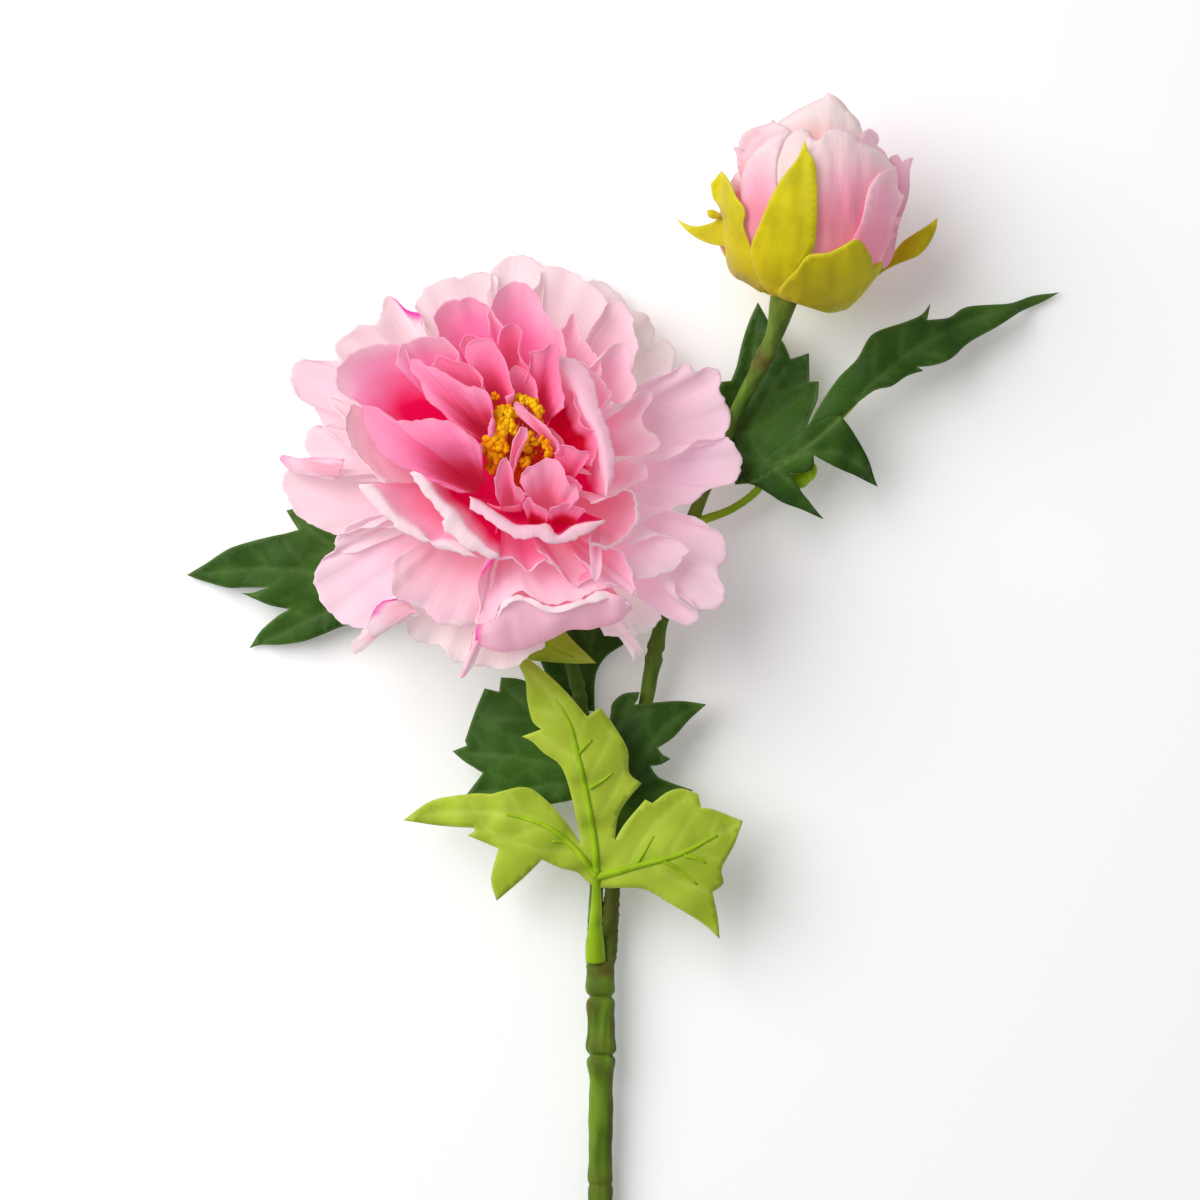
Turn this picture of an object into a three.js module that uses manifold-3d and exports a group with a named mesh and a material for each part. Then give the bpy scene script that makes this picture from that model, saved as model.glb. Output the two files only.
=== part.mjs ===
// Artificial peony spray, lying on a flat surface: one open bloom and one bud on a forked,
// plastic-covered wire stem, with six cut leaves. Millimetres, +Z up. +Y runs from the cut end
// of the stem towards the bud. The spray is laid out round the point (0, 0) of the plan below,
// and the last lines move it so that the origin is at the bottom centre of its box.
import * as THREE from 'three';
import Module from 'manifold-3d';

const wasm = await Module();
wasm.setup();

// ---------- driving dimensions ----------
const petalThick = 0.7;
const leafThick = 0.7;
const gap = 0.3; // between two pieces that lie on each other
const stem = { endY: -338, flatToY: -235, rimY: -100.5, rimZ: 8, radius: 3.3, sides: 10 };
const wire = { radius: 1.2, boreRadius: 1.5, boreDepth: 60, standsOut: 2.5, sides: 10 };
const bloom = { at: [-24.1, 32.4, 30], tilt: 20, hubRadius: 8, hubLow: -4.6, hubTop: 5 };
const bud = { at: [50.4, 82.7, 26.5], lean: 12.2, lift: 6, hubRadius: 7.5 };
const tableClear = 0.4; // lowest middle surface of a petal that meets the table

// ---------- small tools ----------
const rad = THREE.MathUtils.degToRad;
const vec = (p) => new THREE.Vector3(...p);
const smooth = (x, from, to) => THREE.MathUtils.smoothstep(x, from, to);

// A repeatable random number source.
function seeded(seed) {
  let a = seed >>> 0;
  return () => {
    a = (a + 0x6d2b79f5) >>> 0;
    let t = a;
    t = Math.imul(t ^ (t >>> 15), t | 1);
    t ^= t + Math.imul(t ^ (t >>> 7), t | 61);
    return ((t ^ (t >>> 14)) >>> 0) / 4294967296;
  };
}

function solidFrom(points, faces) {
  const vertProperties = new Float32Array(points.flatMap((p) => [p.x, p.y, p.z]));
  const mesh = new wasm.Mesh({ numProp: 3, vertProperties, triVerts: new Uint32Array(faces.flat()) });
  const solid = new wasm.Manifold(mesh);
  if (solid.volume() < 0) {
    return solidFrom(points, faces.map(([a, b, c]) => [a, c, b]));
  }
  return solid;
}

function geometryOf(solid) {
  const mesh = solid.getMesh();
  const positions = new Float32Array(mesh.numVert * 3);
  for (let i = 0; i < mesh.numVert; i++) {
    positions.set(mesh.vertProperties.subarray(i * mesh.numProp, i * mesh.numProp + 3), i * 3);
  }
  const geometry = new THREE.BufferGeometry();
  geometry.setAttribute('position', new THREE.BufferAttribute(positions, 3));
  geometry.setIndex(new THREE.BufferAttribute(mesh.triVerts, 1));
  return geometry.toNonIndexed();
}

// Joins solids, fills any hollow that the joining seals and drops loose scraps.
function fuse(solids) {
  const joined = solids.reduce((sum, solid) => sum.add(solid));
  const bodies = joined.decompose().filter((body) => body.volume() > 0);
  return bodies.reduce((largest, body) => (body.volume() > largest.volume() ? body : largest));
}

// A closed sheet of even thickness over a grid of points, cut alike on both faces.
function sheetSolid(grid, thick) {
  const rows = grid.length;
  const cols = grid[0].length;
  const normals = grid.map((row) => row.map(() => new THREE.Vector3()));
  for (let i = 0; i < rows - 1; i++) {
    for (let j = 0; j < cols - 1; j++) {
      const across = grid[i + 1][j + 1].clone().sub(grid[i][j]);
      const other = grid[i + 1][j].clone().sub(grid[i][j + 1]);
      const normal = across.cross(other);
      [[i, j], [i, j + 1], [i + 1, j], [i + 1, j + 1]].forEach(([r, c]) => normals[r][c].add(normal));
    }
  }
  const points = [];
  [0.5, -0.5].forEach((side) => {
    grid.forEach((row, i) => row.forEach((p, j) => {
      points.push(p.clone().addScaledVector(normals[i][j].clone().normalize(), side * thick));
    }));
  });
  const at = (i, j) => i * cols + j;
  const under = rows * cols;
  const faces = [];
  for (let i = 0; i < rows - 1; i++) {
    for (let j = 0; j < cols - 1; j++) {
      const [a, b, c, d] = [at(i, j), at(i, j + 1), at(i + 1, j + 1), at(i + 1, j)];
      faces.push([a, b, c], [a, c, d]);
      faces.push([a + under, c + under, b + under], [a + under, d + under, c + under]);
    }
  }
  const loop = [];
  for (let j = 0; j < cols - 1; j++) loop.push(at(0, j));
  for (let i = 0; i < rows - 1; i++) loop.push(at(i, cols - 1));
  for (let j = cols - 1; j > 0; j--) loop.push(at(rows - 1, j));
  for (let i = rows - 1; i > 0; i--) loop.push(at(i, 0));
  loop.forEach((a, k) => {
    const b = loop[(k + 1) % loop.length];
    faces.push([b, a, a + under], [b, a + under, b + under]);
  });
  return solidFrom(points, faces);
}

// A round rod along a smooth curve through the stations [x, y, z, radius].
// Its sides are turned so that one flat side faces straight down where the rod lies level.
function rodSolid(stations, sides, steps) {
  const curve = new THREE.CatmullRomCurve3(stations.map((p) => vec(p.slice(0, 3))), false, 'centripetal');
  const last = stations.length - 1;
  const rings = [];
  let up = new THREE.Vector3(0, 0, 1);
  for (let k = 0; k <= steps; k++) {
    const share = k / steps;
    const along = curve.getTangent(share);
    up = up.addScaledVector(along, -up.dot(along)).normalize();
    const side = along.clone().cross(up);
    const slot = Math.min(last - 1, Math.floor(share * last));
    const radius = THREE.MathUtils.lerp(stations[slot][3], stations[slot + 1][3], share * last - slot);
    const centre = curve.getPoint(share);
    rings.push({ centre, radius, side, up: up.clone() });
  }
  return ringsSolid(rings, sides);
}

function ringsSolid(rings, sides) {
  const points = [];
  rings.forEach(({ centre, radius, side, up }) => {
    for (let n = 0; n < sides; n++) {
      const turn = ((n + 0.5) / sides) * 2 * Math.PI;
      points.push(centre.clone()
        .addScaledVector(up, radius * Math.cos(turn))
        .addScaledVector(side, radius * Math.sin(turn)));
    }
  });
  const faces = [];
  for (let k = 0; k < rings.length - 1; k++) {
    for (let n = 0; n < sides; n++) {
      const m = (n + 1) % sides;
      const [a, b, c, d] = [k * sides + n, k * sides + m, (k + 1) * sides + m, (k + 1) * sides + n];
      faces.push([a, b, c], [a, c, d]);
    }
  }
  const start = points.push(rings[0].centre.clone()) - 1;
  const end = points.push(rings[rings.length - 1].centre.clone()) - 1;
  const base = (rings.length - 1) * sides;
  for (let n = 0; n < sides; n++) {
    const m = (n + 1) % sides;
    faces.push([start, m, n], [end, base + n, base + m]);
  }
  return solidFrom(points, faces);
}

// A solid turned from a profile of [radius, height] round the z axis of a flower's own frame.
function turnedSolid(profile, sides, place) {
  const shape = new THREE.LatheGeometry(profile.map(([r, h]) => new THREE.Vector2(r, h)), sides);
  const count = profile.length;
  const source = shape.getAttribute('position');
  const points = [];
  const index = [];
  for (let k = 0; k < sides; k++) {
    for (let j = 0; j < count; j++) {
      const onAxis = profile[j][0] === 0;
      index[k * count + j] = onAxis && k > 0 ? index[j] : points.length;
      if (!(onAxis && k > 0)) {
        const v = new THREE.Vector3().fromBufferAttribute(source, k * count + j);
        points.push(place(new THREE.Vector3(v.x, -v.z, v.y)));
      }
    }
  }
  const faces = [];
  for (let k = 0; k < sides; k++) {
    const next = (k + 1) % sides;
    for (let j = 0; j < count - 1; j++) {
      const [a, b] = [index[k * count + j], index[k * count + j + 1]];
      const [c, d] = [index[next * count + j + 1], index[next * count + j]];
      if (a !== d) faces.push([a, b, d]);
      if (b !== c) faces.push([b, c, d]);
    }
  }
  return solidFrom(points, faces);
}

// ---------- flower frames: local z is the flower's own axis ----------
function placer(origin, axis, facing) {
  const up = axis.clone().normalize();
  const front = facing.clone().addScaledVector(up, -facing.dot(up)).normalize();
  const right = front.clone().cross(up);
  return (p) => vec(origin)
    .addScaledVector(right, p.x)
    .addScaledVector(front, p.y)
    .addScaledVector(up, p.z);
}

const tilt = rad(bloom.tilt);
const inBloom = placer(bloom.at, new THREE.Vector3(0, Math.sin(tilt), Math.cos(tilt)), new THREE.Vector3(0, 1, 0));
const [lean, lift] = [rad(bud.lean), rad(bud.lift)];
const budAxis = new THREE.Vector3(Math.sin(lean) * Math.cos(lift), Math.cos(lean) * Math.cos(lift), Math.sin(lift));
const inBud = placer(bud.at, budAxis, new THREE.Vector3(0, 0, 1));

// ---------- petals ----------
const petalDefaults = {
  root: [5, -1], // [distance from the axis, height] where the petal leaves the hub
  knee: [34, -6], // the pull of its bend
  tip: [60, 4],
  wide: 22, // half its width
  cup: 3, // how far its sides rise
  wrap: 0, // 1 follows the circle round the axis
  shoulder: 0.34, // share of the length that the rounded tip takes
  notch: 0.05,
  lean: 0,
  roll: 0,
  curl: 0, // how far the rim turns over, outwards
  ruffle: 2.4,
  waves: 2.2,
};

function wavesOf(petal) {
  const random = seeded(petal.seed);
  const phase = [0, 1, 2, 3, 4].map(() => random() * 2 * Math.PI);
  return {
    rim: (t) => 0.5 + 0.3 * Math.sin(7.3 * t + phase[0]) + 0.2 * Math.sin(13.1 * t + phase[1]),
    lift: (s, t) => Math.sin(Math.PI * petal.waves * t + phase[2] + 0.8 * s)
      + 0.45 * Math.sin(Math.PI * 1.9 * petal.waves * t + phase[3] - 1.4 * s)
      + 0.5 * Math.sin(2.6 * s + 1.2 * t + phase[4]),
  };
}

// s runs from root (0) to rim (1), t across from side to side (-1 to 1).
function petalPoint(petal, waves, s, t) {
  const rim = 1 - petal.shoulder * Math.abs(t) ** 2.6 - petal.notch * waves.rim(t) * smooth(s, 0.5, 1);
  const q = s * rim;
  const [a, b, c] = [(1 - q) ** 2, 2 * q * (1 - q), q * q];
  const radius = a * petal.root[0] + b * petal.knee[0] + c * petal.tip[0];
  const height = a * petal.root[1] + b * petal.knee[1] + c * petal.tip[1];
  const runR = (1 - q) * (petal.knee[0] - petal.root[0]) + q * (petal.tip[0] - petal.knee[0]);
  const runH = (1 - q) * (petal.knee[1] - petal.root[1]) + q * (petal.tip[1] - petal.knee[1]);
  const run = Math.hypot(runR, runH);
  const [inR, inH] = [-runH / run, runR / run];
  const width = petal.wide * (0.14 + 0.86 * Math.sin(Math.min(1, q / 0.62) * Math.PI / 2));
  const grow = Math.sin(Math.min(1, q / 0.75) * Math.PI / 2);
  let side = t * width;
  let off = petal.cup * t * t * grow
    + petal.ruffle * s ** 1.6 * (0.35 + 0.65 * Math.max(Math.abs(t), s)) * waves.lift(s, t)
    - petal.curl * smooth(s, 0.62, 1) ** 1.5;
  const turn = rad(petal.roll) * q;
  [side, off] = [side * Math.cos(turn) - off * Math.sin(turn), off * Math.cos(turn) + side * Math.sin(turn)];
  side += petal.lean * q * q;
  let [outward, sideways] = [radius, side];
  if (petal.wrap > 0) {
    const bend = Math.max(radius, 4) / petal.wrap;
    outward = radius - bend * (1 - Math.cos(side / bend));
    sideways = bend * Math.sin(side / bend);
  }
  outward += off * inR;
  const turnTo = rad(petal.az);
  return new THREE.Vector3(
    outward * Math.cos(turnTo) - sideways * Math.sin(turnTo),
    outward * Math.sin(turnTo) + sideways * Math.cos(turnTo),
    height + off * inH,
  );
}

function petalSolid(petal, place, rows, cols) {
  const waves = wavesOf(petal);
  const grid = [];
  for (let i = 0; i <= rows; i++) {
    const row = [];
    for (let j = 0; j <= cols; j++) {
      const p = place(petalPoint(petal, waves, i / rows, -1 + (2 * j) / cols));
      p.z = Math.max(p.z, tableClear);
      row.push(p);
    }
    grid.push(row);
  }
  return sheetSolid(grid, petalThick);
}

function petalSet(list, defaults, firstSeed) {
  return list.map((own, k) => ({ ...petalDefaults, ...defaults, seed: firstSeed + k, ...own }));
}

// Guard petals: the pale outer skirt. Azimuth 0 is +X and 90 is the way the stem points.
const guardPetals = petalSet([
  { az: 18, tip: [61, 10], wide: 25, notch: 0.09 },
  { az: -8, tip: [63, 2], wide: 20, notch: 0.08 },
  { az: -35, tip: [67, 2], wide: 21, notch: 0.16 },
  { az: -62, tip: [56, -8], wide: 19, curl: 4 },
  { az: -86, tip: [55, 11], wide: 28, curl: 3, ruffle: 3 },
  { az: -112, tip: [58, -5], wide: 21 },
  { az: -143, tip: [62, 6], wide: 22, notch: 0.03 },
  { az: -171, tip: [64, 0], wide: 20 },
  { az: 162, tip: [63, 8], wide: 19 },
  { az: 138, tip: [60, 14], wide: 19, shoulder: 0.5 },
  { az: 112, tip: [61, -11], wide: 22 },
  { az: 90, tip: [66, 0], wide: 21 },
  { az: 66, tip: [61, -12], wide: 22 },
  { az: 42, tip: [60, 6], wide: 20 },
], {}, 11);

// Bowl petals: the middle ring, deep pink at the base.
const bowlPetals = petalSet([
  { az: 137, knee: [34, 2], tip: [42, 31], wide: 21 },
  { az: 104, knee: [37, 3], tip: [46, 30], wide: 17 },
  { az: 78, knee: [34, 4], tip: [43, 32], wide: 17 },
  { az: 50, knee: [38, 2], tip: [46, 29], wide: 18, notch: 0.12 },
  { az: 20, knee: [34, 1], tip: [41, 26], wide: 18, notch: 0.14 },
  { az: -8, knee: [38, 0], tip: [44, 19], wide: 18, notch: 0.16 },
  { az: -34, knee: [32, -1], tip: [38, 25], wide: 17 },
  { az: -64, knee: [36, 0], tip: [42, 23], wide: 18, ruffle: 2.6 },
  { az: -92, knee: [30, 0], tip: [33, 28], wide: 19, ruffle: 2.6 },
  { az: -120, knee: [36, 0], tip: [43, 22], wide: 18, ruffle: 2.6 },
  { az: -150, knee: [32, 0], tip: [38, 27], wide: 18 },
  { az: 178, knee: [38, 2], tip: [46, 24], wide: 19 },
], { cup: 4, wrap: 0.55, shoulder: 0.36, notch: 0.07, root: [6, 1] }, 41);

// Heart petals: small and upright round the stamens.
const heartPetals = petalSet([
  { az: 178, knee: [33, 8], tip: [23, 36], wide: 18, ruffle: 1.6, wrap: 0.9 },
  { az: 22, knee: [28, 6], tip: [25, 37], wide: 16, wrap: 0.8 },
  { az: 134, knee: [21, 8], tip: [29, 35], wide: 11 },
  { az: 96, knee: [24, 7], tip: [31, 36], wide: 11 },
  { az: 62, knee: [20, 10], tip: [24, 37], wide: 10 },
  { az: -40, knee: [27, 6], tip: [18, 33], wide: 12, wrap: 0.9, ruffle: 1 },
  { az: -86, knee: [25, 6], tip: [16, 31], wide: 10, wrap: 0.9, ruffle: 1 },
  { az: -130, knee: [25, 5], tip: [22, 29], wide: 11 },
], { cup: 2, wrap: 0.6, root: [7.5, 2], ruffle: 1.5, shoulder: 0.4 }, 71);

const hubProfile = [
  [0, bloom.hubLow], [bloom.hubRadius, bloom.hubLow], [bloom.hubRadius + 1.5, 0],
  [bloom.hubRadius, bloom.hubTop - 1], [bloom.hubRadius - 1.5, bloom.hubTop], [0, bloom.hubTop],
];

function bloomPetals() {
  const guards = guardPetals.map((petal) => petalSolid(petal, inBloom, 4, 4));
  const bowls = bowlPetals.map((petal) => petalSolid(petal, inBloom, 4, 4));
  const hearts = heartPetals.map((petal) => petalSolid(petal, inBloom, 4, 3));
  return fuse([turnedSolid(hubProfile, 12, inBloom), ...guards, ...bowls, ...hearts]);
}

// ---------- stamens: a dome of short clubs on a small core ----------
const stamens = { rings: [[1, 0], [5, 2.6], [9, 5.2]], coreTop: 20, clubTop: 30, clubRadius: 1.5 };

function stamenHead() {
  const low = bloom.hubTop + gap;
  const core = turnedSolid([[0, low], [4.6, low], [5, low + 4], [4, stamens.coreTop - 4], [0, stamens.coreTop]], 8, inBloom);
  const random = seeded(5);
  const clubs = [];
  stamens.rings.forEach(([count, spread]) => {
    for (let k = 0; k < count; k++) {
      const turn = ((k + random() * 0.5) / count) * 2 * Math.PI;
      const top = stamens.clubTop - spread * 0.5 - random() * 3;
      const out = spread * (0.95 + random() * 0.2);
      const at = (reach, height, radius) => {
        const p = inBloom(new THREE.Vector3(reach * Math.cos(turn), reach * Math.sin(turn), height));
        return [p.x, p.y, p.z, radius];
      };
      clubs.push(rodSolid([
        at(out * 0.4, low + 6, 0.8), at(out * 0.8, top - 6, 0.8), at(out, top - 3, stamens.clubRadius), at(out, top, 0.9),
      ], 5, 3));
    }
  });
  return fuse([core, ...clubs]);
}

// ---------- calyx of the bloom ----------
const bloomSepals = petalSet([
  { az: -80, tip: [29, -9] },
  { az: -8, tip: [28, -12] },
  { az: 64, tip: [27, -14] },
  { az: 136, tip: [28, -14] },
  { az: 208, tip: [29, -11] },
], { root: [5, -7], knee: [18, -9], wide: 9, cup: 1, ruffle: 0.6, shoulder: 0.6, notch: 0 }, 91);

function bloomCalyx() {
  const top = bloom.hubLow - gap;
  const cup = turnedSolid([[0, -14], [2.7, -14], [6.5, -9.5], [8.5, top - 0.6], [8, top], [0, top]], 10, inBloom);
  return fuse([cup, ...bloomSepals.map((sepal) => petalSolid(sepal, inBloom, 4, 4))]);
}

// ---------- bud: azimuth 0 is its left, 90 faces up from the table, 180 is its right ----------
const budPetalList = petalSet([
  { az: -80, tip: [6, 56], wide: 15 },
  { az: 25, tip: [10, 48], wide: 14 },
  { az: 165, tip: [12, 50], wide: 14 },
  { az: 12, tip: [20, 43], wide: 15 },
  { az: -48, tip: [19, 42], wide: 16 },
  { az: 196, tip: [22, 45], wide: 16, notch: 0.1 },
  { az: 242, tip: [19, 42], wide: 16 },
  { az: 124, tip: [19, 45], wide: 17 },
  { az: 66, tip: [18, 44], wide: 17 },
], { root: [4, 2], knee: [34, 5], cup: 0, wrap: 1, ruffle: 0.9, waves: 1.6, shoulder: 0.42 }, 121);

function budPetals() {
  const hub = turnedSolid([[0, 0.8], [bud.hubRadius, 0.8], [bud.hubRadius, 4], [0, 9]], 10, inBud);
  return fuse([hub, ...budPetalList.map((petal) => petalSolid(petal, inBud, 4, 4))]);
}

const budSepalList = petalSet([
  { az: 81, knee: [37.5, 0], tip: [28, 43], wide: 9.5, shoulder: 0.62 },
  { az: 134, knee: [38, -2], tip: [28, 17], wide: 12, shoulder: 0.35 },
  { az: 17, knee: [36, -1], tip: [32, 35], wide: 8.5, shoulder: 0.5 },
  { az: -22, knee: [36, -3], tip: [41, 22], wide: 7, shoulder: 0.7 },
  { az: 188, knee: [34, -4], tip: [45, 23], wide: 7, shoulder: 0.7 },
  { az: -70, knee: [35, -1], tip: [27, 24], wide: 10, shoulder: 0.5 },
  { az: 236, knee: [35, -1], tip: [27, 22], wide: 10, shoulder: 0.5 },
], { root: [4, -1.6], cup: 0, wrap: 0.85, ruffle: 0.5, waves: 1.2, notch: 0 }, 151);

function budSepals() {
  const cup = turnedSolid([[0, -3.6], [4, -3.6], [8.5, -1.6], [8.5, -0.4], [0, -0.4]], 10, inBud);
  return fuse([cup, ...budSepalList.map((sepal) => petalSolid(sepal, inBud, 4, 4))]);
}

// ---------- stems ----------
// [y, height of the centre, radius] from the cut end up, with the swollen joints of the cover.
function mainStem() {
  const level = stem.radius * Math.cos(Math.PI / stem.sides);
  const rings = [];
  const ring = (y, radius) => {
    const rise = THREE.MathUtils.smoothstep(y, stem.flatToY, stem.rimY);
    const centre = new THREE.Vector3(0.2, y, THREE.MathUtils.lerp(level, stem.rimZ, rise));
    rings.push({ centre, radius, side: new THREE.Vector3(1, 0, 0), up: new THREE.Vector3(0, 0, 1) });
  };
  ring(stem.endY, stem.radius);
  ring(-290, stem.radius);
  ring(stem.flatToY, stem.radius);
  const joints = [-205, -163, -127, -111];
  joints.forEach((y) => {
    const full = y > -140 ? 3.75 : 3.45;
    ring(y - 9, stem.radius);
    ring(y - 1.6, full);
    ring(y - 0.3, full - 0.7);
    ring(y + 0.3, full - 0.7);
    ring(y + 1.6, full);
  });
  ring(stem.rimY - 1, 3.7);
  ring(stem.rimY, 3.5);
  const body = ringsSolid(rings, stem.sides);
  return body.subtract(wireRod(wire.boreRadius, stem.endY - 1, stem.endY + wire.boreDepth));
}

function wireRod(radius, fromY, toY) {
  const level = stem.radius * Math.cos(Math.PI / stem.sides);
  const ends = [fromY, toY].map((y) => ({
    centre: new THREE.Vector3(0.2, y, level),
    radius,
    side: new THREE.Vector3(1, 0, 0),
    up: new THREE.Vector3(0, 0, 1),
  }));
  return ringsSolid(ends, wire.sides);
}

const bloomStalkPath = [
  [-1.6, stem.rimY + gap, 6.3, 1.5], [-1, -72.5, 7, 1.8], [-2, -50, 7.5, 1.8], [-5, -30.6, 7.5, 1.8],
  [-7.8, -18.1, 7, 1.8], [-12.3, -5.5, 5.6, 1.8], [-17, 4, 3.6, 1.8], [-21, 13, 2.1, 1.8],
  [-23.5, 21, 4.8, 1.9], [-24.1, 25.4, 10.6, 2.2], [-24.1, 27.5, 16.4, 2.6],
];
const budStalkPath = [
  [1.9, stem.rimY + gap, 7, 1.5], [4.2, -72.3, 7.5, 1.9], [8.9, -50.1, 8, 1.9], [12.8, -28.3, 9, 1.9],
  [15, -16.1, 10, 2.1], [17.2, -5.5, 11, 1.9], [22.2, 11.1, 12.5, 1.9], [27.2, 26.3, 14, 1.9],
  [37.3, 51.2, 18, 1.9], [42.6, 61.6, 22, 2], [47.6, 71.4, 25.2, 2.6], [49.6, 78.8, 26.1, 3.7],
];

function stalkSolid(path, extra = 0) {
  return rodSolid(path.map(([x, y, z, radius]) => [x, y, z, radius + extra]), 8, 16);
}

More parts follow.
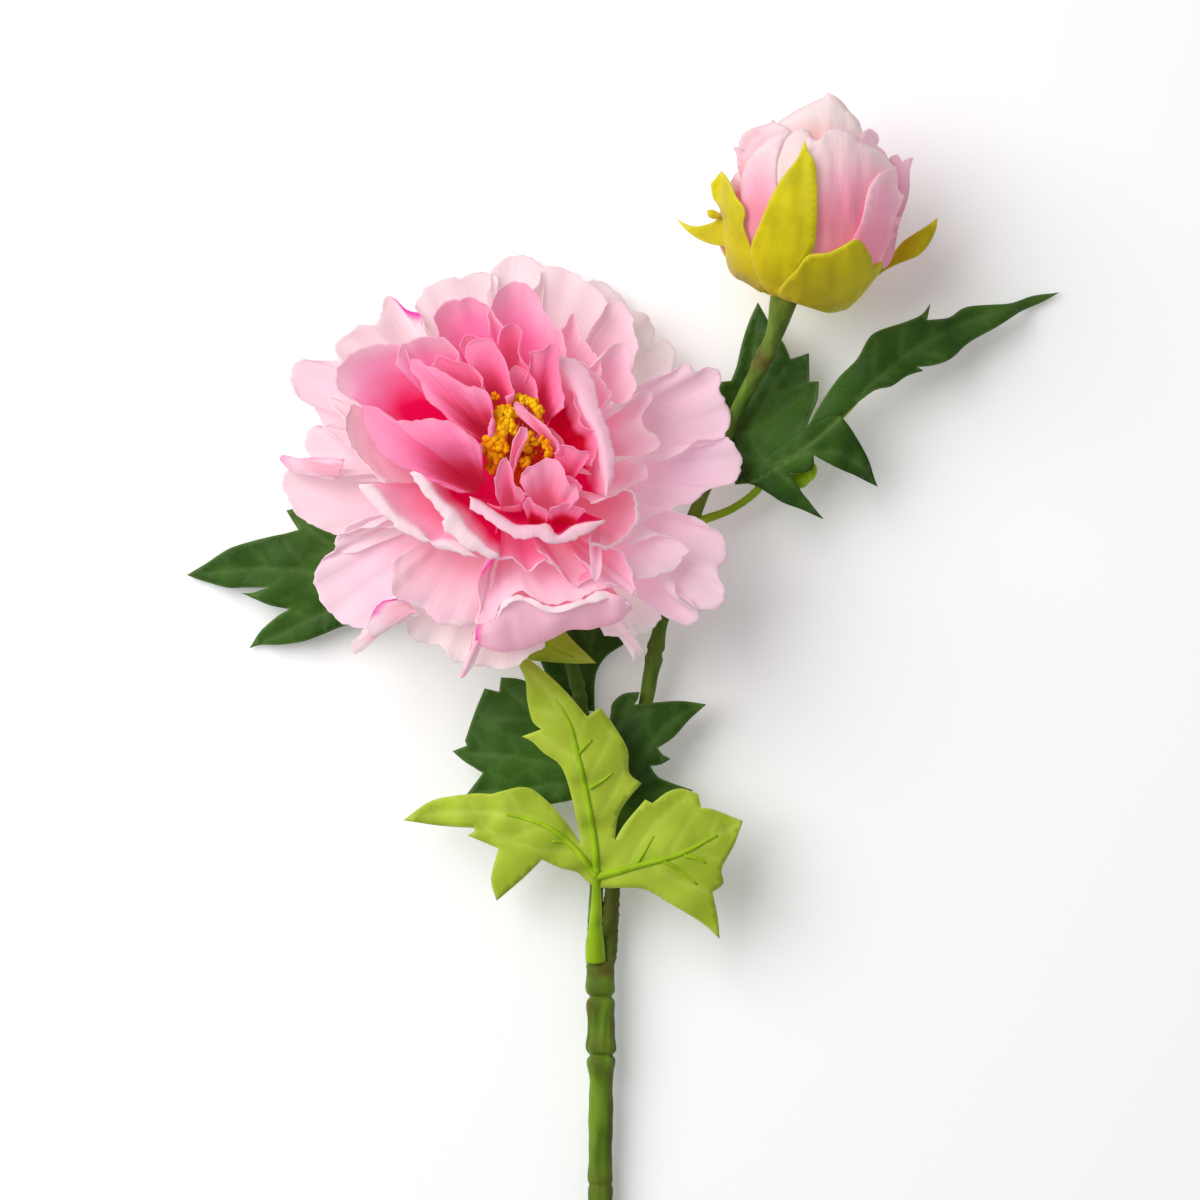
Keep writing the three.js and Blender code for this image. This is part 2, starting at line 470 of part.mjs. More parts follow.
// ---------- leaves ----------
// ribs: midribs from the joint outwards, as [x, y, z]. edge: the outline, as [x, y].
// fold: rise of the blade per mm away from a rib. stalk: from the joint to where the leaf is held.
const leaves = {
  leaf_lime: {
    ribSide: 1, fold: -0.1, ripple: 0.7,
    joint: [-1, -76.5, 22],
    ribs: [
      [[-1.5, -67.5, 24], [-3.5, -55, 27], [-6, -43, 29], [-9, -32.5, 29.5], [-15, -24.5, 28.5], [-22, -17.5, 26.5]],
      [[9.5, -73.5, 24], [22, -70, 25], [30, -66, 24], [38, -62, 22]],
      [[-7, -68.5, 24], [-14.5, -62.5, 25.5], [-23.5, -59.5, 25], [-34, -58.5, 22], [-48, -59.5, 17]],
    ],
    edge: [
      [-5, -67.5], [-7.5, -55.5], [-10.5, -46], [-15.5, -42], [-21.5, -37.5], [-16, -35.5], [-18.5, -33.5], [-20, -27.5],
      [-23.5, -16.5], [-16, -19], [-10, -24.5], [-3.5, -32], [0, -29.5], [3.5, -34], [7.5, -41], [8, -47.5],
      [11.5, -50.5], [8, -54.5], [5, -59.5], [4, -66.5], [7, -61.5], [12.5, -55], [14.5, -56], [18.5, -53],
      [27, -53.5], [28, -57.5], [39.5, -61], [37, -67.5], [33.5, -74], [31, -80.5], [33, -93.5], [28, -89],
      [19, -83.5], [11.5, -79.5], [1.5, -79.5], [-2.5, -78.5], [-6.5, -75], [-10.5, -74], [-16, -71.5], [-21, -76.5],
      [-28.5, -83], [-30, -77], [-28, -68.5], [-36.5, -65], [-44, -62.5], [-54.5, -61], [-46.5, -55.5], [-35.5, -53.5],
      [-21, -51.5], [-15.5, -54.5], [-9.5, -61],
    ],
    stalk: [[-1, -84, 19, 1.3], [-1.2, -91, 13.5, 1.6], [-1, -96, 10.8, 1.8], [-1, stem.rimY + gap, 10.4, 1.8]],
  },
  leaf_right: {
    ribSide: -1, fold: 0.06, ripple: 0.8,
    joint: [47, 37, 19],
    ribs: [
      [[58, 43, 21], [67, 51, 21], [76, 60.5, 20], [88, 70, 16.5], [104, 78, 11], [127, 85.5, 2.5]],
      [[54, 39.5, 20.5], [64, 41, 20], [71, 38, 17], [76, 33, 13]],
      [[52, 33, 19], [57, 28, 16], [61.5, 23.5, 12]],
      [[42, 44, 15], [46, 56, 12], [51, 64, 11]],
      [[39, 41, 15], [38, 50, 11.5], [41.5, 62, 9], [44, 80, 7]],
    ],
    edge: [
      [56, 47], [62.5, 56.5], [71, 66.5], [77, 74.5], [89, 79], [91.5, 82], [90.5, 77.5], [97, 78.5],
      [113.5, 82.5], [128.5, 86], [117.5, 80.5], [102.5, 71.5], [92.5, 65], [85, 62], [76, 58], [66.5, 50.5],
      [70.5, 45.5], [74, 39.5], [77, 31.5], [70.5, 34.5], [59, 38], [56.5, 35], [56.5, 29], [62, 22.5],
      [56, 25], [46.5, 29.5], [37.5, 32], [35, 38], [34, 47], [33, 60.5], [37, 62], [39.5, 71.5],
      [44, 83], [48.5, 75], [48, 67], [53, 68], [58, 68.5], [58, 60.5], [60, 55.5], [56, 48],
    ],
    stalk: [[44, 31, 15.6, 1], [37, 25.5, 14, 1], [25.5, 21.2, 13.6, 1.2]],
  },
  leaf_left: {
    ribSide: -1, fold: 0.05, ripple: 0.8,
    joint: [-60, 4, 9],
    ribs: [
      [[-72, 6, 10.5], [-86, 8.5, 9.5], [-100, 8.5, 6], [-113, 7.2, 2]],
      [[-70, 0, 9.5], [-80, -5, 7.5], [-90, -10, 4.5], [-97, -13, 2]],
      [[-68, 12, 9.5], [-78, 17.5, 8.5], [-85.5, 24, 6]],
    ],
    edge: [
      [-115.5, 7], [-106.5, 12.5], [-92.5, 17.5], [-84, 19.5], [-87.5, 25], [-83.5, 24.5], [-73, 18], [-63.5, 15.5],
      [-55.5, 10.5], [-52, 4], [-54.5, -3.5], [-62.5, -6], [-77, -9.5], [-89.5, -12.5], [-98, -13.5], [-95.5, -9.5],
      [-86.5, -2.5], [-100, 2], [-92.5, 3.5], [-104, 3.5],
    ],
    stalk: [[-48, 1.5, 6.6, 1], [-32, -1, 5, 1], [-14.2, -1.5, 4.8, 1.2]],
  },
  leaf_centre_left: {
    ribSide: -1, fold: 0.06, ripple: 0.9,
    joint: [-4, -51.5, 13.5],
    ribs: [
      [[-12, -46, 15.5], [-24, -43.5, 15], [-39, -42.3, 11]],
      [[-9, -40, 15.5], [-19, -31, 15.5], [-27, -23.5, 13]],
      [[-12, -51, 15], [-24, -53, 14], [-35, -53.6, 10]],
    ],
    edge: [
      [0.5, -47.5], [-5, -37], [-11, -31], [-16.5, -25], [-27.5, -21.5], [-28, -25.5], [-32, -24.5], [-34.5, -30.5],
      [-37.5, -39], [-41, -42], [-37.5, -45], [-32.5, -48], [-37, -54], [-27.5, -57], [-13, -56.5], [-4, -55.5],
    ],
    stalk: [[-0.5, -62, 11.6, 0.9], [-1, -69, 10.3, 0.9], [-1, -76, 7, 1]],
  },
  leaf_centre_right: {
    ribSide: -1, fold: 0.06, ripple: 0.8,
    joint: [6, -62, 13.5],
    ribs: [
      [[9, -50, 15], [14, -40, 15.5], [20, -33.5, 14.5], [28, -29.5, 12]],
      [[4.5, -49, 15], [4.5, -38, 15.5], [8.5, -27.5, 14]],
      [[12, -54.5, 14.5], [18, -53, 13], [25, -53, 10.5]],
    ],
    edge: [
      [3.5, -65.5], [1.8, -50], [2, -39], [3.5, -28.5], [6.5, -26], [11, -25.5], [9.5, -29], [14, -28.5],
      [22, -28], [29.5, -29], [24.5, -33.5], [16, -41], [19.5, -44], [14, -46], [20.5, -51], [26, -53],
      [15.5, -58], [9.5, -64],
    ],
    stalk: [[4.8, -69, 11.8, 0.9], [4.4, -74, 10.7, 0.9], [3.6, -80, 7.3, 1]],
  },
  leaf_under_bloom: {
    ribSide: -1, fold: 0.05, ripple: 0.5,
    joint: [-4.5, -27.5, 4],
    ribs: [
      [[-4, -19, 3.6], [-2, -11, 3.6], [-0.5, 1, 3.8]],
      [[-6, -16, 3.2], [-9, -6, 2.5], [-10.8, 6, 1.8]],
      [[-11, -17.5, 3], [-16, -10, 2.2], [-19, -4.5, 1.4]],
    ],
    edge: [
      [-1.5, -31], [-1.5, -23], [-0.5, -19], [2, -15.5], [6.5, -12.5], [6, -5.5], [0, 4], [-4, 0],
      [-11, 8], [-14.5, 0], [-19.5, -3], [-19, -11], [-16.5, -17.5], [-13.5, -23.5], [-5.5, -31],
    ],
    stalk: [[-4.2, -34, 3, 0.8], [-3.6, -40, 5, 0.8], [-3, -44, 7.4, 0.9]],
  },
  leaf_bract: {
    ribSide: 1, fold: -0.08, ripple: 0.5,
    joint: [-22, -5.5, 19],
    ribs: [[[-14, -12.5, 21], [-7.5, -15.5, 21.5], [-2.5, -17, 21]]],
    edge: [
      [-0.8, -17.7], [-4, -14.5], [-9, -9.5], [-13, -5], [-18, -2.5], [-23.5, -4], [-25, -8], [-22, -13],
      [-15, -16.5], [-8.5, -17.5],
    ],
    stalk: [[-25.5, -1.5, 19.6, 0.9], [-27.5, 6, 12, 0.9], [-23, 18, 3.6, 1]],
  },
};

function leafNodes(leaf) {
  const nodes = [{ at: vec(leaf.joint), parent: -1 }];
  leaf.ribs.forEach((rib) => {
    let parent = 0;
    rib.forEach((p) => {
      nodes.push({ at: vec(p), parent });
      parent = nodes.length - 1;
    });
  });
  return nodes;
}

// Height of the blade's middle surface: it follows the ribs and folds and ripples away from them.
function leafHeight(leaf, nodes, x, y) {
  let [sum, weights, nearest] = [0, 0, Infinity];
  nodes.forEach(({ at, parent }) => {
    const d2 = (at.x - x) ** 2 + (at.y - y) ** 2 + 1e-6;
    sum += at.z / d2 ** 2;
    weights += 1 / d2 ** 2;
    if (parent < 0) return;
    const from = nodes[parent].at;
    const [dx, dy] = [at.x - from.x, at.y - from.y];
    const share = THREE.MathUtils.clamp(((x - from.x) * dx + (y - from.y) * dy) / (dx * dx + dy * dy), 0, 1);
    nearest = Math.min(nearest, Math.hypot(x - from.x - share * dx, y - from.y - share * dy));
  });
  const ripple = leaf.ripple * smooth(nearest, 0, 8) * Math.sin(0.33 * x + 0.9) * Math.cos(0.29 * y);
  return sum / weights + leaf.fold * nearest + ripple;
}

// A blade is cut into sectors between neighbouring ribs, so that every rib runs along edges of it.
function bladeSolid(leaf, thick = leafThick) {
  const nodes = leafNodes(leaf);
  let outline = leaf.edge.map(([x, y]) => vec([x, y, leafHeight(leaf, nodes, x, y)]));
  if (THREE.ShapeUtils.area(outline) < 0) outline = outline.reverse();
  const middle = [vec(leaf.joint), ...outline];
  const ribs = leaf.ribs.map((rib) => {
    const end = vec(rib[rib.length - 1]);
    const reach = outline.map((p) => Math.hypot(p.x - end.x, p.y - end.y));
    const tip = reach.indexOf(Math.min(...reach));
    const path = rib.slice(0, -1).map((p) => middle.push(vec(p)) - 1);
    return { tip, path };
  }).sort((one, other) => one.tip - other.tip);
  const points = [0.5, -0.5].flatMap((side) => middle.map((p) => vec([p.x, p.y, p.z + side * thick])));
  const under = middle.length;
  const faces = [];
  ribs.forEach((rib, k) => {
    const next = ribs[(k + 1) % ribs.length];
    const last = next.tip > rib.tip ? next.tip : next.tip + outline.length;
    const rim = [];
    for (let n = rib.tip; n <= last; n++) rim.push(1 + (n % outline.length));
    const sector = [0, ...rib.path, ...rim, ...next.path.slice().reverse()];
    THREE.ShapeUtils.triangulateShape(sector.map((n) => middle[n]), []).forEach((face) => {
      const [u, v, w] = face.map((n) => sector[n]);
      faces.push([u, v, w], [u + under, w + under, v + under]);
    });
    for (let n = 0; n < rim.length - 1; n++) {
      faces.push([rim[n + 1], rim[n], rim[n] + under], [rim[n + 1], rim[n] + under, rim[n + 1] + under]);
    }
  });
  return solidFrom(points, faces);
}

// The moulded rib and stalk that the blade is glued to, 0.3 mm clear of it and of the stems.
function ribSolid(leaf) {
  const offset = (radius) => leaf.ribSide * (leafThick / 2 + 1.6 * gap + radius);
  const thick = 1;
  const joint = [leaf.joint[0], leaf.joint[1], leaf.joint[2] + offset(thick), thick];
  const rods = leaf.ribs.map((rib) => {
    const stations = rib.slice(0, -1).map(([x, y, z], k) => {
      const radius = THREE.MathUtils.lerp(thick, 0.45, (k + 1) / rib.length);
      return [x, y, z + offset(radius), radius];
    });
    return ringsAlong([joint, ...stations], 5);
  });
  const root = leaf.ribs[0][0];
  const inner = [0.12, 0].map((share) => [
    THREE.MathUtils.lerp(leaf.joint[0], root[0], share),
    THREE.MathUtils.lerp(leaf.joint[1], root[1], share),
    leaf.joint[2] + offset(thick),
    thick,
  ]);
  const stalk = ringsAlong([...inner, ...leaf.stalk], 6);
  const clear = [bladeSolid(leaf, leafThick + 2 * gap), stalkSolid(bloomStalkPath, gap), stalkSolid(budStalkPath, gap)];
  return fuse([clear.reduce((left, solid) => left.subtract(solid), fuse([stalk, ...rods]))]);
}

// A rod with one ring at each station, so that it keeps exactly to the stations.
function ringsAlong(stations, sides) {
  const centres = stations.map((p) => vec(p.slice(0, 3)));
  const rings = stations.map((p, k) => {
    const before = centres[Math.max(0, k - 1)];
    const after = centres[Math.min(centres.length - 1, k + 1)];
    const along = after.clone().sub(before).normalize();
    const up = new THREE.Vector3(0, 0, 1).addScaledVector(along, -along.z).normalize();
    return { centre: centres[k], radius: p[3], side: along.clone().cross(up), up };
  });
  return ringsSolid(rings, sides);
}

// ---------- the spray ----------
const colours = {
  petal: { color: 0xf39ac0, roughness: 0.7 },
  stamen: { color: 0xe9ab12, roughness: 0.85 },
  sepal: { color: 0xb9b51c, roughness: 0.6 },
  lime: { color: 0x9cc23a, roughness: 0.6 },
  leaf: { color: 0x2c5a22, roughness: 0.6 },
  stem: { color: 0x5b7d2b, roughness: 0.55 },
  wire: { color: 0x8a8a86, roughness: 0.4, metalness: 1 },
};

const spray = new THREE.Group();
function add(name, solid, colour) {
  const material = new THREE.MeshStandardMaterial({ metalness: 0, ...colours[colour] });
  const mesh = new THREE.Mesh(geometryOf(solid), material);
  mesh.name = name;
  spray.add(mesh);
}

add('main_stem', mainStem(), 'stem');
add('stem_wire', wireRod(wire.radius, stem.endY - wire.standsOut, stem.endY + wire.boreDepth - gap), 'wire');
add('bloom_stalk', stalkSolid(bloomStalkPath), 'stem');
add('bud_stalk', stalkSolid(budStalkPath), 'stem');
add('bloom_petals', bloomPetals(), 'petal');
add('bloom_stamens', stamenHead(), 'stamen');
add('bloom_calyx', bloomCalyx(), 'lime');
add('bud_petals', budPetals(), 'petal');
add('bud_sepals', budSepals(), 'sepal');
Object.entries(leaves).forEach(([name, leaf]) => {
  const colour = leaf.ribSide > 0 ? 'lime' : 'leaf';
  add(`${name}_blade`, bladeSolid(leaf), colour);
  add(`${name}_rib`, ribSolid(leaf), 'lime');
});

const box = new THREE.Box3().setFromObject(spray);
const centre = box.getCenter(new THREE.Vector3());
spray.position.set(-centre.x, -centre.y, -box.min.z);

export default spray;
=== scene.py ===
# Artificial peony spray lying on a pale table: one open bloom and one bud on a forked,
# plastic-covered stem, with cut cloth leaves.
import math
import random

import bpy
import numpy as np
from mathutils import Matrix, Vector
from mathutils.geometry import delaunay_2d_cdt


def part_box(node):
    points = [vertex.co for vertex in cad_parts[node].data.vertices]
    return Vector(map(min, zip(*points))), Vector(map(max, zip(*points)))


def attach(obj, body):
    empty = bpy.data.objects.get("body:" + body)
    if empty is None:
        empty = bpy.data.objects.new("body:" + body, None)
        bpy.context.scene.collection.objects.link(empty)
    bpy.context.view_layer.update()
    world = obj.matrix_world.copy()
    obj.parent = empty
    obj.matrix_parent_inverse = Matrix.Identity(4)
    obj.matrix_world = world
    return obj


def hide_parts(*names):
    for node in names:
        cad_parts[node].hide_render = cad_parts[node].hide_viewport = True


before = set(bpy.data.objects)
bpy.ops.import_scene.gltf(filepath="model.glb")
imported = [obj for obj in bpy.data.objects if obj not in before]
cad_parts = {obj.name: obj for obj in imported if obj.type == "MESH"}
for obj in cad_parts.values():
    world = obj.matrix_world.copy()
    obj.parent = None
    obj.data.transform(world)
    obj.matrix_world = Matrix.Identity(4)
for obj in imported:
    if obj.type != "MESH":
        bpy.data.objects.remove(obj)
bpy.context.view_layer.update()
print("frame loaded")

# Shapes are laid out in millimetres round a point of the plan, as the frame's own parts are.
# y runs up the stem and z up from the table.
planShift = (-0.0002, 0.338)  # metres from the middle and the cut end of the stem to that point
stemLow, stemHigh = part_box("main_stem")
planOrigin = np.array([(stemLow.x + stemHigh.x) / 2 + planShift[0], stemLow.y + planShift[1], 0.0])


# A colour of 0 to 255 as a picture has it, in the linear numbers that a shader wants.
def srgb(red, green, blue):
    channels = []
    for value in (red / 255, green / 255, blue / 255):
        channels.append(value / 12.92 if value <= 0.04045 else ((value + 0.055) / 1.055) ** 2.4)
    return (*channels, 1.0)


# The camera looks straight down. Distances are in metres, and width is what it sees across.
view = dict(height=1.5, width=0.336, sensor=36, nearest=0.01)
light = dict(
    key=dict(place=(-1.0, 0.69, 1.25), size=1.7, power=28.8),
    fill=dict(place=(0.7, -0.9, 1.3), size=1.6, power=1.0),
    aimShare=0.6, sky=0.26,
)
table = dict(colour=srgb(254, 254, 254), half=4.0, rough=0.9, shine=0.1, glow=0.16)


def makeStage():
    scene = bpy.context.scene
    camera = bpy.data.objects.new("camera", bpy.data.cameras.new("camera"))
    scene.collection.objects.link(camera)
    camera.location = (planOrigin[0], planOrigin[1], view["height"])
    camera.data.sensor_width = view["sensor"]
    camera.data.lens = view["sensor"] * view["height"] / view["width"]
    camera.data.clip_start = view["nearest"]
    scene.camera = camera

    target = Vector((0, planOrigin[1] * light["aimShare"], 0))
    for name in ("key", "fill"):
        lamp = bpy.data.lights.new(f"{name}Light", "AREA")
        lamp.shape = "DISK"
        lamp.size = light[name]["size"]
        lamp.energy = light[name]["power"]
        holder = bpy.data.objects.new(f"{name}Light", lamp)
        scene.collection.objects.link(holder)
        holder.location = light[name]["place"]
        holder.rotation_euler = (target - holder.location).to_track_quat("-Z", "Y").to_euler()

    world = bpy.data.worlds.new("studio")
    world.use_nodes = True
    world.node_tree.nodes["Background"].inputs["Color"].default_value = (1, 1, 1, 1)
    world.node_tree.nodes["Background"].inputs["Strength"].default_value = light["sky"]
    scene.world = world
    scene.view_settings.view_transform = "Standard"

    half = table["half"]
    mesh = bpy.data.meshes.new("table")
    mesh.from_pydata([(-half, -half, 0), (half, -half, 0), (half, half, 0), (-half, half, 0)], [], [(0, 1, 2, 3)])
    top = bpy.data.objects.new("table", mesh)
    scene.collection.objects.link(top)
    finish, _, _ = makeMaterial(
        "tablePaper", Base_Color=table["colour"], Roughness=table["rough"], Specular_IOR_Level=table["shine"],
        Emission_Color=table["colour"], Emission_Strength=table["glow"])
    mesh.materials.append(finish)


def makeMaterial(name, **fixed):
    finish = bpy.data.materials.new(name)
    finish.use_nodes = True
    tree = finish.node_tree
    shader = tree.nodes["Principled BSDF"]
    for label, value in fixed.items():
        shader.inputs[label.replace("_", " ")].default_value = value
    return finish, tree, shader


makeStage()
print("stage made")


# Tools for node trees. A group takes colours and numbers by name, and closeGroup names what it gives.
def nodeGroup(name, colours, **numbers):
    group = bpy.data.node_groups.new(name, "ShaderNodeTree")
    sockets = [(label, "NodeSocketColor", (1, 1, 1, 1)) for label in colours]
    sockets += [(label, "NodeSocketFloat", value) for label, value in numbers.items()]
    for label, kind, value in sockets:
        group.interface.new_socket(label, in_out="INPUT", socket_type=kind).default_value = value
    return group, group.nodes.new("NodeGroupInput").outputs


def closeGroup(group, **results):
    ends = group.nodes.new("NodeGroupOutput").inputs
    for label, value in results.items():
        kind = "NodeSocketColor" if label == "Colour" else "NodeSocketFloat"
        group.interface.new_socket(label, in_out="OUTPUT", socket_type=kind)
        group.links.new(value, ends[label])
    return group


def feed(tree, socket, value):
    if isinstance(value, bpy.types.NodeSocket):
        tree.links.new(value, socket)
    else:
        socket.default_value = value


def feedAll(tree, node, values):
    for socket, value in zip(node.inputs, values):
        feed(tree, socket, value)
    return node.outputs[0]


def calc(tree, operation, *values, clamp=False):
    node = tree.nodes.new("ShaderNodeMath")
    node.operation = operation
    node.use_clamp = clamp
    return feedAll(tree, node, values)


def times(tree, first, second, clamp=False):
    return calc(tree, "MULTIPLY", first, second, clamp=clamp)


def plus(tree, first, second):
    return calc(tree, "ADD", first, second)


def mixColour(tree, share, first, second, blend="MIX"):
    node = tree.nodes.new("ShaderNodeMix")
    node.data_type = "RGBA"
    node.blend_type = blend
    node.clamp_factor = True
    for place, value in ((0, share), (6, first), (7, second)):
        feed(tree, node.inputs[place], value)
    return node.outputs[2]


# Colours laid over a first one, each by its own share.
def layered(tree, body, *layers):
    for share, colour in layers:
        body = mixColour(tree, share, body, colour)
    return body


# A smooth step of value from start to end, which gives low to high.
def fade(tree, value, start, end, low=0.0, high=1.0):
    node = tree.nodes.new("ShaderNodeMapRange")
    node.interpolation_type = "SMOOTHSTEP"
    feedAll(tree, node, (value, start, end, low, high))
    return node.outputs["Result"]


def readValue(tree, name):
    node = tree.nodes.new("ShaderNodeAttribute")
    node.attribute_name = name
    return node.outputs["Fac"]


def noiseValue(tree, scale, detail=2.0, vector=None):
    node = tree.nodes.new("ShaderNodeTexNoise")
    feed(tree, node.inputs["Scale"], scale)
    node.inputs["Detail"].default_value = detail
    if vector is None:
        vector = tree.nodes.new("ShaderNodeTexCoord").outputs["Object"]
    tree.links.new(vector, node.inputs["Vector"])
    return node.outputs["Fac"]


def useGroup(tree, group, **values):
    node = tree.nodes.new("ShaderNodeGroup")
    node.node_tree = group
    for label, value in values.items():
        feed(tree, node.inputs[label], value)
    return node.outputs


def addBump(tree, shader, height, strength, distance):
    bump = tree.nodes.new("ShaderNodeBump")
    bump.inputs["Strength"].default_value = strength
    bump.inputs["Distance"].default_value = distance
    tree.links.new(height, bump.inputs["Height"])
    tree.links.new(bump.outputs["Normal"], shader.inputs["Normal"])


# Fibres of thin cloth: a fine grain with broad soft patches under it.
fibre = dict(scale=1700.0, broad=0.03, detail=3.0, each=0.5)


def makeClothGrain():
    group, ins = nodeGroup("clothGrain", [], Scale=fibre["scale"])
    fine = noiseValue(group, ins["Scale"], fibre["detail"])
    broad = noiseValue(group, times(group, ins["Scale"], fibre["broad"]), fibre["detail"])
    height = plus(group, times(group, fine, fibre["each"]), times(group, broad, fibre["each"]))
    return closeGroup(group, Height=height, Mottle=broad)


# Fine lines that run from the root of a petal to its rim.
fineLines = dict(count=22.0, wander=1.4, detail=3.0, dark=(0.5, 0.72))


def makePetalLines():
    group, ins = nodeGroup("petalLines", [], Count=fineLines["count"], Wander=fineLines["wander"])
    place = feedAll(group, group.nodes.new("ShaderNodeCombineXYZ"), (
        times(group, readValue(group, "across"), ins["Count"]),
        times(group, readValue(group, "along"), ins["Wander"]), readValue(group, "tone")))
    lines = noiseValue(group, 1.0, fineLines["detail"], place)
    return closeGroup(group, Height=lines, Mask=fade(group, lines, *fineLines["dark"]))


# The run of colour of a petal. Spans are from its root, 0, to its rim, 1. How much pink, lilac, deep,
# pale and stain a petal has is kept with it, as blush, cool, depth, frost, and stain or dye. The deep colour
# at the root is partly the cloth's own darker base and partly painted shade, where petals shade one another.
petalDye = dict(
    patch=70.0, wander=0.35, pinkSpan=(0.35, 1.05, 1.1, 0.8), deepSpan=(0.25, 0.80, 1.0, 0.0), paleSpan=(0.78, 1.03),
    spot=110.0, spotSpan=(0.42, 0.62), stainSpan=(0.72, 0.99), dyeSpan=(0.25, 0.6, 0.6, 1.0),
    mottle=0.16, darkest=0.92, lines=0.05,
)


def makePetalTint():
    group, ins = nodeGroup(
        "petalTint", ["White", "Pink", "Lilac", "Deep", "Pale", "Stain"], Mottle=0.5, Lines=0.0)
    along = readValue(group, "along")
    patch = noiseValue(group, petalDye["patch"])
    reach = plus(group, along, times(group, calc(group, "SUBTRACT", patch, 0.5), petalDye["wander"]))
    spot = fade(group, noiseValue(group, petalDye["spot"]), *petalDye["spotSpan"])
    edge = times(group, fade(group, along, *petalDye["stainSpan"]), spot)
    body = layered(
        group, ins["White"],
        (times(group, readValue(group, "blush"), fade(group, reach, *petalDye["pinkSpan"])), ins["Pink"]),
        (readValue(group, "cool"), ins["Lilac"]),
        # Partly painted shade: the deep colour near the root, by depth, also darkens the petals down in the hollow.
        (times(group, fade(group, reach, *petalDye["deepSpan"]), readValue(group, "depth")), ins["Deep"]),
        (times(group, fade(group, reach, *petalDye["paleSpan"]), readValue(group, "frost")), ins["Pale"]),
        (times(group, edge, readValue(group, "stain")), ins["Stain"]),
        (times(group, readValue(group, "dye"), fade(group, patch, *petalDye["dyeSpan"]), clamp=True), ins["Stain"]))
    shade = plus(group, times(group, ins["Mottle"], petalDye["mottle"]), petalDye["darkest"])
    grey = feedAll(group, group.nodes.new("ShaderNodeCombineColor"), [shade] * 3)
    body = mixColour(group, 1.0, body, grey, "MULTIPLY")
    return closeGroup(group, Colour=layered(group, body, (times(group, ins["Lines"], petalDye["lines"]), ins["Deep"])))


# Dyed cloth of a leaf, with specks, pale pressed veins, and a pale edge that is painted sheen.
leafDye = dict(
    cloudDetail=3.0, cloudSpan=(0.32, 0.7), speck=22.0, speckSpan=(0.55, 0.75), specks=0.12,
    veinLeast=0.45, veinCloud=0.9, edgeSpan=(0.6, 0.05), edgeSheen=0.45, heights=(0.35, 0.8), groove=0.5,
)


def makeLeafTint():
    group, ins = nodeGroup("leafTint", ["Blade", "Shade", "Vein"], Veining=0.6, Scale=60.0)
    cloud = noiseValue(group, ins["Scale"], leafDye["cloudDetail"])
    speck = noiseValue(group, times(group, ins["Scale"], leafDye["speck"]))
    broken = plus(group, leafDye["veinLeast"], times(group, cloud, leafDye["veinCloud"]))
    vein = times(group, readValue(group, "vein"), broken)
    # Painted sheen: the blade turns paler towards its edge.
    paintedSheen = fade(group, readValue(group, "edge"), *leafDye["edgeSpan"])
    body = layered(
        group, ins["Shade"], (fade(group, cloud, *leafDye["cloudSpan"]), ins["Blade"]),
        (times(group, fade(group, speck, *leafDye["speckSpan"]), leafDye["specks"]), ins["Vein"]),
        (times(group, vein, ins["Veining"], clamp=True), ins["Vein"]),
        (times(group, paintedSheen, leafDye["edgeSheen"]), ins["Vein"]))
    fine, broad = leafDye["heights"]
    height = plus(group, times(group, speck, fine), times(group, cloud, broad))
    height = calc(group, "SUBTRACT", height, times(group, vein, leafDye["groove"]))
    return closeGroup(group, Colour=body, Height=height, Wear=cloud)


# Dipped plastic of the stems: mottled green, drawn out along the stem, with brown at the joints, and brown
# patches on one side as painted shade on the side away from the light.
dip = dict(
    stretch=(1.0, 0.28, 1.0), streakDetail=4.0, streakSpan=(0.36, 0.66), blotch=0.45, blotchDetail=3.0,
    jointSpan=(0.34, 0.62), shadeSideSpan=(0.3, 0.56), shadeSideShare=0.8, grain=9.0, heights=(0.8, 0.2),
    gloss=(0.3, 0.7, 0.42, 0.6),
)


def makeStemMottle():
    group, ins = nodeGroup("stemMottle", ["Green", "Dark", "Brown"], Browning=0.8, Scale=160.0)
    squeeze = group.nodes.new("ShaderNodeVectorMath")
    squeeze.operation = "MULTIPLY"
    coord = group.nodes.new("ShaderNodeTexCoord").outputs["Object"]
    streak = noiseValue(group, ins["Scale"], dip["streakDetail"], feedAll(group, squeeze, (coord, dip["stretch"])))
    blotch = noiseValue(group, times(group, ins["Scale"], dip["blotch"]), dip["blotchDetail"])
    near = times(group, readValue(group, "joint"), fade(group, blotch, *dip["jointSpan"]))
    # Painted shade: brown patches on the main stem's side away from the light; the stalks take an even share of these
    # brown patches all round.
    side = times(group, readValue(group, "rightSide"), fade(group, blotch, *dip["shadeSideSpan"]))
    brown = calc(group, "MAXIMUM", near, times(group, side, dip["shadeSideShare"]))
    body = layered(
        group, ins["Dark"], (fade(group, streak, *dip["streakSpan"]), ins["Green"]),
        (times(group, brown, ins["Browning"], clamp=True), ins["Brown"]))
    grain = noiseValue(group, times(group, ins["Scale"], dip["grain"]))
    drawn, fine = dip["heights"]
    height = plus(group, times(group, streak, drawn), times(group, grain, fine))
    return closeGroup(group, Colour=body, Height=height, Gloss=fade(group, blotch, *dip["gloss"]))


clothGrain = makeClothGrain()
petalLines = makePetalLines()
petalTint = makePetalTint()
leafTint = makeLeafTint()
stemMottle = makeStemMottle()


